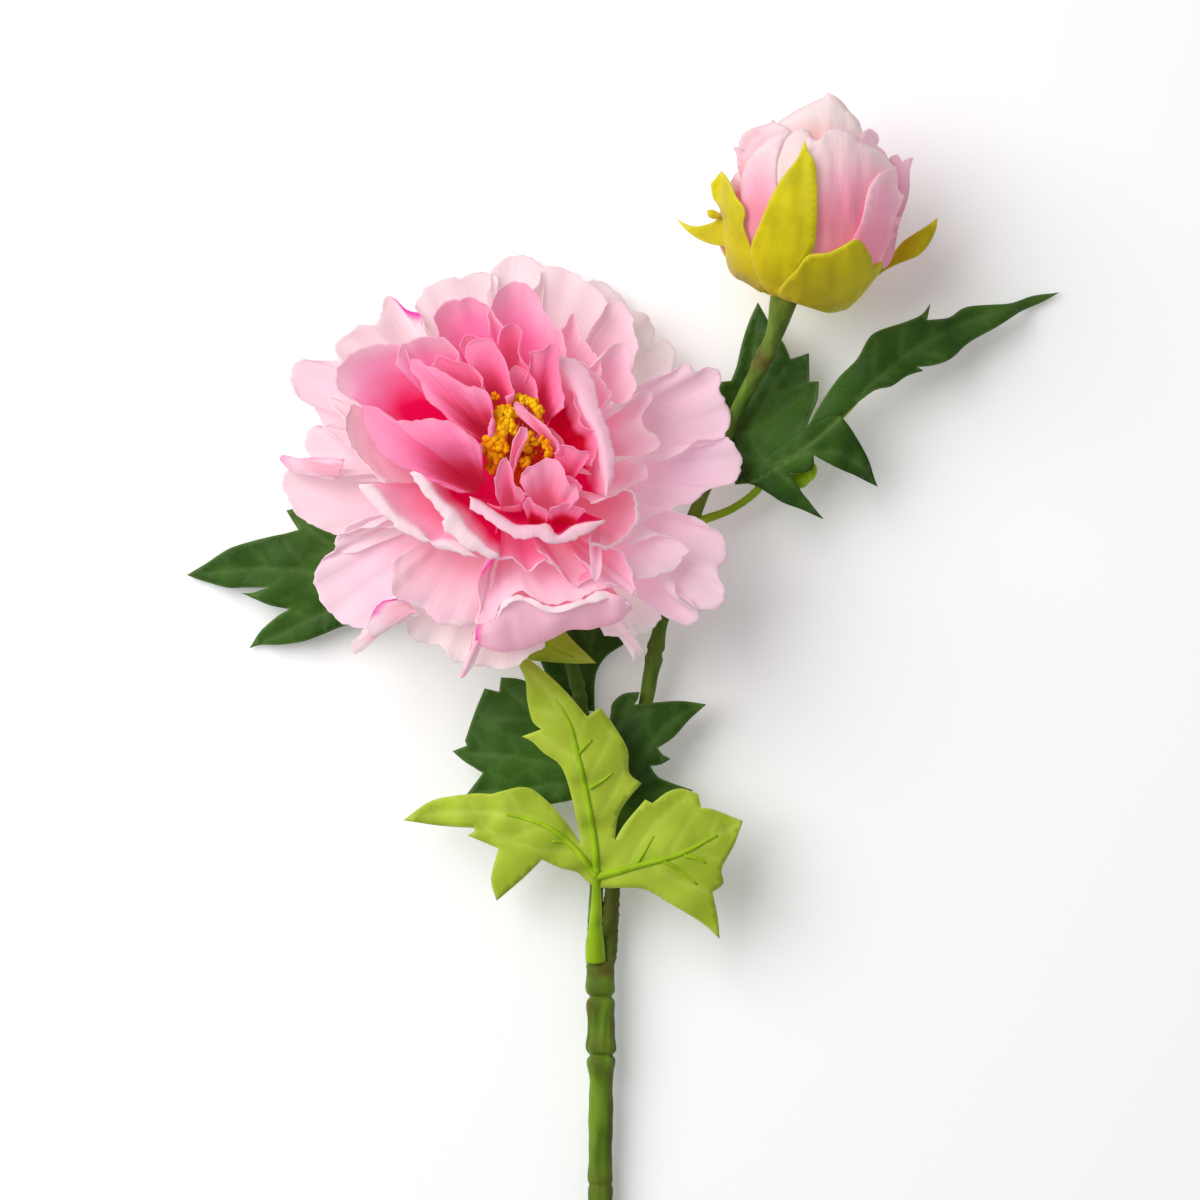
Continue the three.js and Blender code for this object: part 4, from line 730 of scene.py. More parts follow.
# The pale outer petals, from the top round to the right, the front and the left.
skirtPetals = dict(
    topCentre=dict(blush=0.1, cool=0.05, depth=0.15, rim=[(-8, 52, 2), (-6, 58, 0), (-4.5, 61, -1), (-2, 63, -2),
        (1.5, 64, -2), (5, 63, -2), (8.5, 60, -1), (8, 53.5, 2)]),
    topLeft=dict(blush=0.14, cool=0.05, rim=[(-26, 43.5, 4), (-27, 49, 1), (-24.5, 54, 0), (-19.5, 57, -1),
        (-14.5, 57.5, -1), (-9, 59, -1), (-5, 57.5, 0), (-3.5, 52, 3)]),
    topRight=dict(blush=0.16, cool=0.05, rim=[(5.5, 53.5, 5), (9, 60, 1), (13.5, 60, 1), (18.5, 57.5, 1),
        (22.5, 55, 1), (26, 51, 2), (25.5, 45, 5)]),
    topRightBack=dict(blush=0.04, cool=0, depth=0, rim=[(19.5, 56, -4), (23.5, 57, -5), (28, 54, -5), (30.5, 51.5, -5),
        (32, 47.5, -4), (29.5, 44, -3)]),
    rightUpright=dict(blush=0.32, cool=0.2, share=0.8, low=0, rim=[(24, 45.5, 9), (28, 50, 7), (31, 49.5, 6),
        (33, 46.5, 6), (33.5, 40.5, 7), (33.5, 34, 9), (32.5, 28, 11)]),
    rightGrey=dict(blush=0, cool=0, depth=0, frost=0, rim=[(32, 48, -2), (36, 47.5, -4), (39, 44, -5), (39, 39, -4),
        (42, 40, -5), (45, 37, -6), (44, 32, -4), (39.5, 28.5, -2), (34, 26.5, 0)]),
    rightBig=dict(blush=0.25, cool=0.65, depth=0.2, rim=[(33, 26, 3), (38.5, 28, 4), (45, 31, 4), (48.5, 33, 3),
        (50.5, 30.5, 3), (55.5, 31.5, 1), (57.5, 30, 0), (57, 25.5, 1), (59.5, 21, -1), (60, 16.5, -1), (58, 12.5, 0),
        (51.5, 9.5, 2)]),
    rightLow=dict(blush=0.22, cool=0.75, depth=0.2, rim=[(36.5, 5.5, 7), (44.5, 7.5, 5), (52.5, 10.5, 3),
        (59, 12.5, 1), (62.5, 8, -1), (63, 4, -1), (61, 0, -2), (56.5, -1.5, -1), (52.5, -3, 0), (48.5, -5.5, 1),
        (41, -8.5, 3), (33.5, -12, 6)]),
    rightFolded=dict(blush=0.26, cool=0.5, share=0.7, low=5, rim=[(32, -17.5, 10), (38.5, -15.5, 9), (44.5, -16, 8),
        (48.5, -19, 6), (46.5, -21, 6), (46, -23, 5), (42, -25, 6), (34, -27.5, 9)]),
    rightScalloped=dict(blush=0.2, cool=0.65, rim=[(44, -8.5, 4), (49.5, -10.5, 2), (56, -13, 0), (59, -19.5, -2),
        (56.5, -24.5, -1), (58.5, -30.5, -3), (56, -35, -3), (51.5, -35, -3), (48.5, -33, -1)]),
    rightFinger=dict(blush=0.18, cool=0.65, rim=[(44, -27, 1), (46, -32.5, 0), (51, -36.5, -3), (49.5, -39.5, -4),
        (44, -38, -3), (38.5, -34.5, -1), (33.5, -29, 2)]),
    lowGrey=dict(blush=0, cool=0, depth=0, frost=0, rim=[(32, -31, -4), (36, -32, -6), (41, -37, -8), (38.5, -40, -9),
        (36, -42, -9), (32, -39.5, -6)]),
    lowFinger=dict(blush=0.05, cool=0.1, depth=0.1, frost=0.2, rim=[(25.5, -38, 0), (29.5, -38.5, -3), (32, -41, -6),
        (34.5, -44, -10), (35.5, -46.5, -13), (34.5, -49, -15), (33.5, -46.5, -12), (32, -44.5, -8), (29.5, -42.5, -4),
        (26, -41.5, -2)]),
    leftPointed=dict(blush=0.14, cool=0.05, rimDye=1, dyeReach=0.1, stainSpan=(0.6, 0.84), rim=[(-47.5, 32.5, 6),
        (-48.5, 38.5, 4), (-45.5, 41.5, 4), (-41.5, 44, 4), (-38.5, 43.5, 3), (-36.5, 46.5, 2), (-35.5, 52, 0),
        (-34.5, 52.5, 0), (-30.5, 49, 1), (-26.5, 46.5, 3), (-24, 40.5, 7)]),
    leftUpper=dict(blush=0.16, rim=[(-48, 33, 2), (-53.5, 34, 0), (-58, 34.5, -1), (-61, 32.5, -2), (-61.5, 29, -2),
        (-59.5, 23.5, -1), (-56, 21.5, 0), (-53.5, 18.5, 0), (-52, 15, 1), (-47, 10.5, 4)]),
    leftSmall=dict(blush=0.16, cool=0.25, rim=[(-49.5, 16.5, 2), (-54.5, 16, -1), (-57.5, 11.5, -3), (-56, 7.5, -3),
        (-51.5, 3, -2), (-45.5, 0, 0)]),
    leftStrip=dict(blush=0.3, cool=0.3, stain=0.5, crumple=0.1, ruffle=0.3, foot=(-45.5, 2.2), rootOut=1.5, root=7,
        fan=1.4, low=5.5, cup=0, rim=[(-48, 0.5, 5), (-53.5, 1, 3), (-60.5, 3, 0), (-63, 5, -1), (-64.5, 7.5, -2),
        (-59.5, 7, -1), (-54.5, 6.5, 1), (-50.5, 6.5, 4), (-46, 6, 6)]),
    leftBig=dict(blush=0.22, cool=0.1, rim=[(-46, 2, 5), (-55, 3, 1), (-61, 4, -2), (-63.5, 0.5, -4), (-62, -4, -4),
        (-59, -9, -3), (-54.5, -12, -2), (-47.5, -14.5, -1), (-40, -14, 2), (-32, -12.5, 6)]),
    lowLeftBehind=dict(blush=0.05, cool=0.35, depth=0, rim=[(-40.5, -11, 4), (-45, -12, 1.5), (-47, -13.5, -0.5),
        (-48.5, -15.5, -2), (-48.5, -17.5, -2.5), (-47, -19, -2.5), (-43, -19.5, -1)]),
    lowLeftRound=dict(cool=0.6, rim=[(-36, -12, 8), (-44, -13, 3), (-48, -15.5, 0), (-48, -18, -1), (-51.5, -21, -3),
        (-54, -25, -4), (-53.5, -29.5, -5), (-50.5, -35, -5), (-45.5, -39, -5), (-39.5, -40, -4), (-35.5, -37, 0)]),
    lowLeftCurl=dict(blush=0.16, cool=0.35, rimDye=1.3, dyeReach=0.4, stainSpan=(-1, 0.34), crumple=0.06, ruffle=0.2,
        foot=(-26.2, -33.9), rootOut=1.2, root=1.5, fan=2, low=2.5, cup=-0.5, curl=0.2, rim=[(-28, -32, 3),
        (-31.5, -32, 3), (-34, -32.5, 2.5), (-36.5, -34, 2), (-38, -36.5, 1), (-39, -39, 0), (-38.5, -42, -1.5),
        (-35.5, -41.5, -1.5), (-31.5, -39.5, -1), (-28, -37.5, 0), (-24.5, -36, 1)]),
    lowLeftTongue=dict(blush=0.1, cool=0.1, stain=0.1, crumple=0.05, ruffle=0.15, foot=(-34.5, -39.8), rootOut=1,
        fan=1.6, low=-2, cup=-0.5, curl=0, rim=[(-39, -38.5, -2), (-41.5, -42, -3), (-43.5, -44, -4.5),
        (-44, -45.5, -6), (-43, -47, -6.5), (-40.5, -46, -5), (-38, -43.5, -3), (-36, -42, -2)]),
    lowWhite=dict(blush=0, cool=0, depth=0.05, frost=0, rim=[(-31.5, -32, 2), (-28.5, -41, -4), (-25.5, -44, -6),
        (-19, -45, -7), (-15.5, -49, -8), (-11, -50, -8), (-5, -51, -8), (1, -50.5, -7), (5, -47.5, -5),
        (9, -45, -3)]),
    lowSpike=dict(blush=0.3, cool=0.2, stain=1, crumple=0.05, ruffle=0.1, foot=(-6.5, -38), rootOut=1, root=3, fan=0.8,
        low=1.5, cup=0, rim=[(-9, -39.5, 3), (-10.7, -41, 1), (-10.7, -44.5, -1), (-11.3, -46.5, -2), (-12.8, -50, -4),
        (-14, -54, -5), (-11.7, -51.5, -4), (-9.5, -47, -2), (-7.5, -44, 0), (-5.5, -42, 2)]),
    lowLeftSalmon=dict(blush=0.34, cool=0, share=0.8, low=8, frost=0.7, stain=0.2, stainSpan=(-1, 0.5),
        rim=[(-32.5, -22, 9), (-32.5, -25, 7.5), (-32.5, -28.5, 6), (-31.5, -31, 4.5), (-29, -32.5, 3.5),
        (-25.5, -34.5, 3), (-21.5, -37, 2.5), (-17, -38.5, 2), (-12.5, -39, 2), (-9, -39, 2), (-6.5, -35, 4),
        (-5.5, -29, 7), (-4.5, -23.5, 9)]),
    lowFrill=dict(blush=0.48, cool=0.05, frost=1, sideDye=1, dyeWide=0.07, share=0.9, turnedShare=0.26, lipShare=0.14,
        arch=1.5, rows=34,
        crest=[(-10, -44, 0), (-8, -45.5, 0), (-4.5, -46.5, 0), (-0.5, -47.5, 0), (3, -47, 1), (6.5, -45.5, 2),
        (10, -44.5, 3), (13.5, -42, 5), (16, -41, 6), (19.5, -41, 6), (23.5, -41, 6), (26.5, -40.5, 6),
        (29.5, -38.5, 7), (33, -35.5, 8)], rim=[(-9, -39.5, 4), (-7, -38.5, 6), (-5, -37, 8), (-3.5, -34.5, 10),
        (-2, -32.5, 11.5), (0, -31.5, 12.5), (2, -30, 13), (4.5, -30.5, 13.5), (7.5, -32, 14), (10.5, -33, 14),
        (15, -33, 14), (19, -32, 14), (21, -30.5, 14), (24, -29, 14), (27, -29.5, 13.5), (29.5, -30.5, 12.5),
        (32, -32.5, 11)], lip=[(-8, -40.5, 5), (-6, -39, 7), (-4, -37.5, 9), (-2.5, -35, 11), (-0.5, -34, 12.5),
        (0.5, -33.2, 13.5), (3, -32.5, 14), (5, -33.2, 14), (7.5, -34.5, 14.5), (10.5, -35.7, 14.5), (15, -35.4, 14.5),
        (18.5, -34.2, 14.5), (21, -33.2, 14.5), (23.5, -33, 14.5), (26, -32, 14), (29, -32.5, 13), (32, -33.8, 11)]),
)

# The middle petals, pink at the foot and pale at the rim. Where depth is over 1, on petals down in the hollow,
# the deep colour reaches further up as painted shade.
bowlPetals = dict(
    upperLeft=dict(curl=0, blush=0.95, depth=0.7, frost=0.25, rim=[(-20, 39.5, 26), (-21, 43, 25), (-20.5, 46.5, 24),
        (-18, 49, 24), (-12.5, 50, 24), (-7.5, 48.5, 24), (-4, 45, 24), (-2, 40.5, 26)]),
    upperRight=dict(curl=0, blush=0.85, depth=0.7, frost=0.25, rim=[(-6, 43, 25), (-6, 48, 23), (-3.5, 52.5, 21),
        (0, 54.5, 20), (4, 54.5, 20), (6.5, 52, 20), (8, 47.5, 21), (12.5, 42, 23), (14.5, 37, 25), (15, 32, 27)]),
    topRightPink=dict(blush=0.62, depth=0.4, frost=0.3, rim=[(12.5, 40, 20), (15, 45, 18), (17.5, 46.5, 17),
        (18.5, 42, 18), (20.5, 37.5, 19), (24, 34, 20), (25, 29, 22)]),
    leftWide=dict(blush=0.85, depth=1.5, low=15, cup=0.5, curl=0, rim=[(-42, 21, 19), (-47.5, 25.5, 20),
        (-47.5, 30.5, 22), (-44.5, 34, 24), (-39.5, 36.5, 25), (-34.5, 37.5, 25), (-30, 36.5, 26), (-27.5, 31.5, 24)]),
    leftInner=dict(blush=0.95, depth=1.4, frost=0.4, low=17, curl=0, rim=[(-31.5, 31.5, 24), (-30, 36.5, 27),
        (-26, 38.5, 28), (-21, 39.5, 28), (-17, 37.5, 28), (-14.5, 34.5, 27), (-15.5, 30, 25)]),
    rightRuffled=dict(blush=0.55, depth=0.5, cool=0.15, rim=[(22, 31.5, 22), (25, 35.5, 21), (29, 38, 20),
        (33, 35, 19), (33, 30, 18), (34, 27, 18), (32, 21.5, 20), (29.5, 19.5, 22), (27, 21.5, 24)]),
    rightSpiky=dict(blush=0.5, depth=0.5, cool=0.15, rim=[(28.5, 18.5, 19), (34, 24, 15), (38.5, 24.5, 12),
        (37.5, 20, 12), (35.5, 17, 14), (36.5, 14.5, 13), (38.5, 13, 12), (41, 11, 10), (39, 8, 11), (35, 6.5, 13),
        (28.5, 6.5, 19)]),
    rightTip=dict(blush=0.5, depth=0.5, frost=0.6, cool=0.1, rim=[(26, 1, 23), (30, 6.5, 20), (34, 5.5, 17),
        (37.5, 2, 13), (36, -0.5, 14), (32.5, -1.5, 17), (27, -4, 22)]),
    rightUprightEdge=dict(blush=0.8, depth=3.2, frost=0.4, share=1, turnedShare=0.2, arch=0.5, ruffle=0.2,
        crumple=0.08,
        crest=[(12, 33, 31), (12.5, 30.5, 31), (15, 26.5, 31), (17, 23.5, 31), (18.5, 20, 31), (19.5, 17.5, 31),
        (21.5, 15, 31), (22.5, 13, 31), (23.5, 9.5, 31), (24, 6, 31), (25, 0.5, 30), (25.5, -4.5, 29)],
        rim=[(12, 34, 30), (17, 33, 30), (20, 31, 29.5), (22.5, 27, 29.5), (23.5, 22.5, 29.5), (24, 19, 29.5),
        (25.5, 16, 29.5), (27, 11.5, 29.5), (28, 7, 29.5), (28, 2.5, 29), (27, -1.5, 28.5), (26, -5, 28.5)]),
    rightRuffledInner=dict(blush=0.8, depth=0.6, rim=[(19, 32.5, 27), (21, 30.5, 27), (23, 29, 26), (25, 27.5, 25),
        (27, 25, 24), (27.5, 24, 23.5), (27, 22.5, 23.5), (25, 20, 24)]),
    leftEdge=dict(blush=0.45, frost=0.9, share=0.9, low=11, ruffle=0.4, curl=0, rim=[(-42, 20.5, 16), (-43.5, 21, 17),
        (-44, 19.5, 17.5), (-45.5, 16, 17), (-44.5, 11.5, 17), (-42, 7.5, 17), (-39, 3.5, 17), (-34, -0.5, 19)]),
    leftTuck=dict(blush=0.2, depth=0.2, low=6, curl=0, rim=[(-44, 21, 13), (-47, 22.5, 12), (-50.5, 23, 10),
        (-49.5, 20.5, 10), (-45, 16.5, 12)]),
    lowLeftEdge=dict(blush=0.6, frost=0.9, depth=0.5, share=1, turnedShare=0.16, arch=0.4, ruffle=0.3, crumple=0.08,
        crest=[(-38, -1, 19), (-36, -2.5, 19), (-34.5, -4.5, 19), (-32.5, -7.5, 19), (-30.5, -9.5, 19),
        (-28, -11, 18.5), (-26, -12.5, 18), (-23.5, -14.5, 18), (-22, -16.5, 17.5), (-18.5, -16, 17.5),
        (-14.5, -16.5, 17)], rim=[(-41.5, -1, 17), (-40.5, -3, 17), (-38, -6, 17), (-35.5, -8.5, 17), (-32, -11.5, 17),
        (-31, -13, 17), (-28.5, -14.5, 17), (-25.5, -15.5, 17), (-22.5, -17, 16.5), (-19.5, -18.5, 16),
        (-14.5, -19.5, 16), (-8.5, -21.5, 16)]),
    lowMiddleEdge=dict(blush=0.6, frost=0.9, depth=1.3, share=1.15, turnedShare=0.16, arch=0.4, ruffle=0.3,
        crumple=0.08,
        crest=[(-24.5, 3, 25.5), (-22.5, 1, 25.5), (-20.5, -2, 25), (-18.5, -5, 25), (-15.5, -7.5, 25),
        (-13, -10, 24.5), (-11.5, -12.5, 24), (-9, -15, 23.5), (-6.5, -17.5, 23), (-3, -20, 22)], rim=[(-27, 2, 24),
        (-25.5, -0.5, 24), (-24, -3, 24), (-21.5, -6, 24), (-19, -9, 23), (-17.5, -10.5, 23), (-18.5, -12, 23),
        (-17.5, -14, 22.5), (-15, -15.5, 22), (-13, -18, 21.5), (-10, -19, 21), (-7.5, -20.5, 20.5), (-5, -21.5, 20),
        (-3, -21, 20)]),
    frontRim=dict(frost=0.45, depth=2.4, share=1.35, turnedShare=0.15, arch=0.4, ruffle=0.3, crumple=0.08,
        crest=[(-10.5, -4.5, 28), (-8, -5.5, 28), (-5.5, -7.5, 28), (-2.5, -9.5, 28), (1, -11.5, 28), (4.5, -12, 28),
        (7.5, -12, 28), (9.5, -11.5, 28), (11, -13, 28), (12, -14.5, 27.5), (13, -14.5, 27.5), (14.5, -13.5, 27.5),
        (16.5, -12, 27.5), (19, -11.5, 27.5), (21.5, -11, 27.5), (24.5, -10.5, 27)], rim=[(-11, -8, 27),
        (-8, -9.5, 27), (-4.5, -12, 27), (-1.5, -14, 27), (1.5, -16, 27), (4.5, -16, 27), (7, -15.5, 27),
        (9, -16.5, 26.5), (11, -17.5, 26.5), (13, -17.5, 26), (16, -16.5, 26), (19, -15.5, 26), (21, -14, 26),
        (23.5, -13, 26), (25.5, -11.5, 26)]),
    lowRightPale=dict(blush=0.5, frost=0.7, share=1.15, rim=[(21.5, -5.5, 20), (27, -4, 21), (32.5, -3, 20),
        (34.5, -6.5, 18), (33.5, -11.5, 17), (30.5, -15.5, 16), (27, -18, 17), (21.5, -17.5, 20)]),
    frontRuffleLeft=dict(blush=0.72, frost=0.6, share=1.2, rim=[(-7.5, -17.5, 20), (-3.5, -21, 19), (1, -21, 19),
        (5, -24.5, 17), (8.5, -21, 18), (11.5, -22.5, 17)]),
    frontRuffleRight=dict(blush=0.72, frost=0.6, share=1.15, rim=[(7.5, -19, 19), (11, -21.5, 18), (14, -25, 15),
        (17.5, -29, 13), (19, -27, 14), (21.5, -26.5, 14), (20, -23, 16), (17.5, -20, 18)]),
    frontStrip=dict(blush=0.5, cool=0.1, depth=0.5, frost=0.15, foot=(23.1, -12), rootOut=1.2, root=18, fan=1.6,
        share=0.5, low=18, cup=-0.5, ruffle=0.1, crumple=0.05, curl=0, rim=[(21, -16, 17.5), (21.5, -22, 18),
        (22, -26, 17.5), (23, -27.5, 16.5), (24, -26.5, 17), (24.5, -23.5, 18), (24.5, -16.5, 17.5)]),
    frontBroad=dict(blush=0.46, cool=0.1, depth=0.5, frost=0.2, stain=1, stainSpan=(-1, 0.16), share=0.72, low=8,
        ruffle=0.3, curl=0, rim=[(-5, -22, 18), (-7, -24.5, 15), (-8.5, -27.5, 12), (-9, -30, 10), (-8.5, -32, 9),
        (-8, -34, 8), (-8.5, -36, 7), (-10, -38.5, 6), (-8, -39, 6), (-5.5, -38, 7), (-3.5, -34.5, 9), (-2, -33, 10.5),
        (0, -31.5, 11.5), (2, -30, 12), (4.5, -30.5, 12.5), (7.5, -32.5, 13), (10.5, -33.5, 13), (15, -33, 13),
        (19, -32, 13), (21, -31, 13), (24, -29.5, 13), (27, -29, 13), (30, -29.5, 12), (32.5, -31.5, 11),
        (34, -29.5, 11)]),
    lowRightPink=dict(blush=0.6, cool=0.25, share=0.9, rim=[(24.5, -17.5, 18), (29.5, -19.5, 15), (33, -24, 13),
        (33.5, -28, 12), (33.5, -31.5, 11), (30, -29.5, 13), (25.5, -28.5, 15)]),
)

# The small petals that stand round the stamens and fold over them. Their deep colour at the foot is partly
# painted shade down among them.
heartPetals = dict(
    cover=dict(foot=(-7, -3), rootOut=2.5, root=6, share=0.3, low=34, cup=-2, fan=1.6, rim=[(-7.5, 9.5, 31),
        (-11.5, 12.5, 32), (-16, 15.5, 31), (-21.5, 16.5, 30), (-28, 16, 29), (-33.5, 16.5, 27), (-35.5, 19.5, 26),
        (-40.5, 20, 24), (-38.5, 13.5, 24), (-35.5, 7.5, 23), (-29, 2.5, 22), (-21.5, -0.5, 22), (-13.5, -3.5, 20)]),
    left=dict(foot=(-3, 9), rootOut=2.5, root=10, share=0.4, low=33, fan=1.5, rim=[(-5.5, 11.5, 30), (-5, 18, 33),
        (-6.5, 24, 34), (-11, 25, 34), (-15, 27, 34), (-19.5, 30, 33), (-24, 31, 31), (-26.5, 33, 29),
        (-27.5, 30.5, 29), (-24.5, 26.5, 29), (-23, 22, 28), (-18.5, 18, 27), (-13.5, 14, 26)]),
    leftBack=dict(foot=(-4, 12), share=0.6, low=24, rim=[(-21.5, 31, 29), (-20, 34, 29), (-17, 33.5, 30),
        (-13.5, 32, 31), (-10.5, 31, 31), (-8, 28, 32), (-8, 24.5, 32)]),
    topLeft=dict(foot=(-2, 14), rootOut=3, root=10, share=0.5, low=30, rim=[(-12.5, 33.5, 31), (-12, 36.5, 32),
        (-8.5, 38.5, 33), (-5, 37.5, 34), (-2.5, 34.5, 35), (-1, 31, 35), (0, 27, 34), (1.5, 23.5, 33),
        (-1.5, 22.5, 32)]),
    topLeftBack=dict(foot=(-2, 12), share=0.7, low=20, rim=[(-14, 36.5, 27), (-13, 39, 27), (-11.5, 40, 27),
        (-7, 39, 28), (-4.5, 38, 29), (-4, 34.5, 29)]),
    top=dict(foot=(0, 14), share=0.7, low=22, rim=[(-4, 37, 32), (-2.5, 41.5, 33), (0, 43, 33), (2.5, 41, 33),
        (2.5, 37, 33), (2.5, 35, 33), (5, 30, 32), (4, 27, 30)]),
    topRight=dict(foot=(6, 13), rootOut=3, root=10, share=0.5, low=29, rim=[(5, 31, 32), (5.5, 35, 33), (7, 35, 34),
        (9.5, 35.5, 35), (11, 37.5, 35), (13, 35, 35), (13, 31, 34), (14, 26, 33), (14.5, 19.5, 31)]),
    topMiddle=dict(foot=(2, 13), rootOut=3, root=10, share=0.5, low=26, rim=[(-0.5, 29.5, 30), (1, 31, 31),
        (3.5, 30.5, 31), (6, 28, 31), (7.5, 23, 30), (7, 18, 28)]),
    stripLeft=dict(foot=(-1, -2), rootOut=1.5, root=12, share=0.5, low=26, blush=0.55, depth=0.2, rim=[(0, 4, 27),
        (0.5, 8, 31), (1.5, 13, 34), (3, 14.5, 35), (4.5, 14, 35), (4, 10.5, 33), (2, 7.5, 30), (1, 3.5, 27)]),
    stripRight=dict(foot=(15, 5), rootOut=1.5, root=14, share=0.45, low=32, blush=0.6, depth=0.2, rim=[(2, 17, 30),
        (1, 20.5, 32), (2.5, 21.5, 33), (4, 19, 33), (7, 16.5, 33), (9.5, 14.5, 33), (11.5, 12, 32), (13, 8, 30),
        (11.5, 7.5, 29)]),
    frontRight=dict(foot=(9, -14), rootOut=5, root=8, share=0.35, low=29, blush=0.6, depth=0.3, rim=[(2.5, -0.5, 29),
        (3.5, 2, 31), (7, 4.5, 32), (11.5, 5.5, 33), (14.5, 3, 33), (15.5, -0.5, 33), (17.5, -1.5, 32),
        (18.5, -4.5, 31), (17.5, -6.5, 29)]),
    frontLeft=dict(foot=(0.5, -12), root=8, share=0.35, low=27, blush=0.75, depth=0.45, rim=[(-4, -4, 29), (-4, 1, 31),
        (-3, 4.5, 32), (-1.5, 6.5, 32), (0, 4.5, 32), (1, -0.5, 31), (4.5, -4, 29)]),
    frontFold=dict(foot=(7, -16), root=8, share=0.35, low=24, depth=1.6, rim=[(3.5, -7, 28), (5, -5, 29),
        (7.5, -6.5, 29), (10, -8, 28), (9.5, -10, 26)]),
    frontFoldRight=dict(foot=(13, -16), root=8, share=0.35, low=24, depth=1.6, rim=[(9.5, -9.5, 27), (11.5, -7, 28),
        (15, -6.5, 29), (18, -7, 28), (20.5, -8, 27)]),
    rightFold=dict(foot=(10, -6), root=8, share=0.5, low=24, depth=1.2, rim=[(12.5, 9, 29), (13.5, 9.5, 30),
        (15.5, 9.5, 31), (18, 8.5, 31), (19.5, 8, 30.5), (21, 7, 30), (21, 5.5, 29), (19.5, 4.5, 27)]),
    rightInner=dict(foot=(6, 6), root=6, share=0.85, low=17, blush=0.85, depth=2.2, frost=0.4, rim=[(14.5, 25.5, 30),
        (16.5, 24, 30), (18, 21, 30), (19, 18, 30), (19, 15, 29.5), (21, 14, 29.5), (23, 13, 29.5), (23.5, 10.5, 29),
        (23, 6.5, 28.5), (22.5, 3.5, 28)]),
    frontCurl=dict(foot=(9, -6), rootOut=3, root=10, share=0.5, low=26, blush=0.8, rim=[(15, 0.5, 28), (15.5, 1, 29),
        (16.5, 1, 30), (18, -0.5, 30), (19, -2.5, 29), (18, -4.5, 28), (17, -6.5, 26)]),
)

ringShapes = dict(
    skirt=dict(),
    bowl=dict(
        share=0.66, low=9.0, cup=1.5, root=1.0, rootOut=6.5, ruffle=0.5, waveLength=13.0, folds=0.08, crumple=0.22,
        blush=0.7, cool=0.0, depth=0.55, frost=0.5, curl=-0.6),
    heart=dict(
        share=0.9, low=14.0, cup=0.5, root=4.0, rootOut=4.0, fan=1.2, ruffle=0.35, waveLength=10.0, folds=0.06,
        crumple=0.18, curl=-0.5, blush=0.9, cool=0.0, depth=0.85, frost=0.35),
)


# Gives the function that lays points of a flower along its axis.
def flowerPlacer(foot, axis, facing):
    up = np.asarray(axis, float) / np.linalg.norm(axis)
    front = np.asarray(facing, float) - up * np.dot(facing, up)
    front /= np.linalg.norm(front)
    basis = np.stack([np.cross(front, up), front, up])
    return lambda points: np.asarray(foot) + np.asarray(points, float) @ basis


inBloom = flowerPlacer(bloom["at"], (0, math.sin(tiltAngle), math.cos(tiltAngle)), (0, 1, 0))

# Plain petals are given by their bend and width, as distances from the flower's axis and along it. az turns them
# round it. They are the guard petals of the bloom, its calyx and the hidden side of the bud.
plainDefaults = dict(
    root=(5, -1), knee=(34, -6), tip=(60, 4), wide=22, cup=0.0, wrap=1.0, shoulder=0.42,
    ruffle=0.6, waves=1.6, blush=0.5, cool=0.2, depth=0.4, frost=0.3, stain=0.0, rows=18, cols=18, thick=0.35,
)
plainShape = dict(
    tipRound=2.6, footWide=0.14, widest=0.62, ruffleGrows=1.6, second=0.45, secondWave=1.9, slants=(0.8, -1.4),
    leastBend=4, veinWide=0.7, edgeReach=6, edgeStart=1.02, toneSpan=6)


def plainPetal(petal, put, seed):
    petal = {**plainDefaults, **petal}
    shape = plainShape
    chance = random.Random(seed)
    phase = [chance.uniform(0, 2 * math.pi) for _ in range(6)]
    s = np.linspace(0, 1, petal["rows"])[:, None]
    t = np.linspace(-1, 1, petal["cols"])[None, :]
    q = s * (1 - petal["shoulder"] * np.abs(t) ** shape["tipRound"])
    root, knee, tip = (np.array(petal[key], float) for key in ("root", "knee", "tip"))
    radius, height = ((1 - q) ** 2 * root[k] + 2 * q * (1 - q) * knee[k] + q * q * tip[k] for k in (0, 1))
    runOut, runUp = ((1 - q) * (knee[k] - root[k]) + q * (tip[k] - knee[k]) for k in (0, 1))
    run = np.hypot(runOut, runUp)
    widen = np.sin(np.minimum(1, q / shape["widest"]) * math.pi / 2)
    side = t * petal["wide"] * (shape["footWide"] + (1 - shape["footWide"]) * widen)
    slant, backSlant = shape["slants"]
    off = petal["cup"] * t * t + petal["ruffle"] * s ** shape["ruffleGrows"] * (
        np.sin(math.pi * petal["waves"] * t + phase[2] + slant * s)
        + shape["second"] * np.sin(math.pi * shape["secondWave"] * petal["waves"] * t + phase[3] + backSlant * s))
    bend = np.maximum(radius, shape["leastBend"]) / petal["wrap"]
    outward = radius - bend * (1 - np.cos(side / bend)) - off * runUp / run
    sideways = bend * np.sin(side / bend)
    az = math.radians(petal["az"])
    grid = put(np.stack([
        outward * math.cos(az) - sideways * math.sin(az), outward * math.sin(az) + sideways * math.cos(az),
        height + off * runOut / run], axis=-1))
    grid[..., 2] = np.maximum(grid[..., 2], bloom["tableClear"])
    return sheetPart(
        grid, petal["thick"], along=s, across=t, tone=phase[4] * shape["toneSpan"], blush=petal["blush"],
        cool=petal["cool"], depth=petal["depth"], frost=petal["frost"], stain=petal["stain"],
        vein=bell(side, shape["veinWide"]), edge=(1 - np.abs(t)) * (shape["edgeStart"] - s) * shape["edgeReach"])


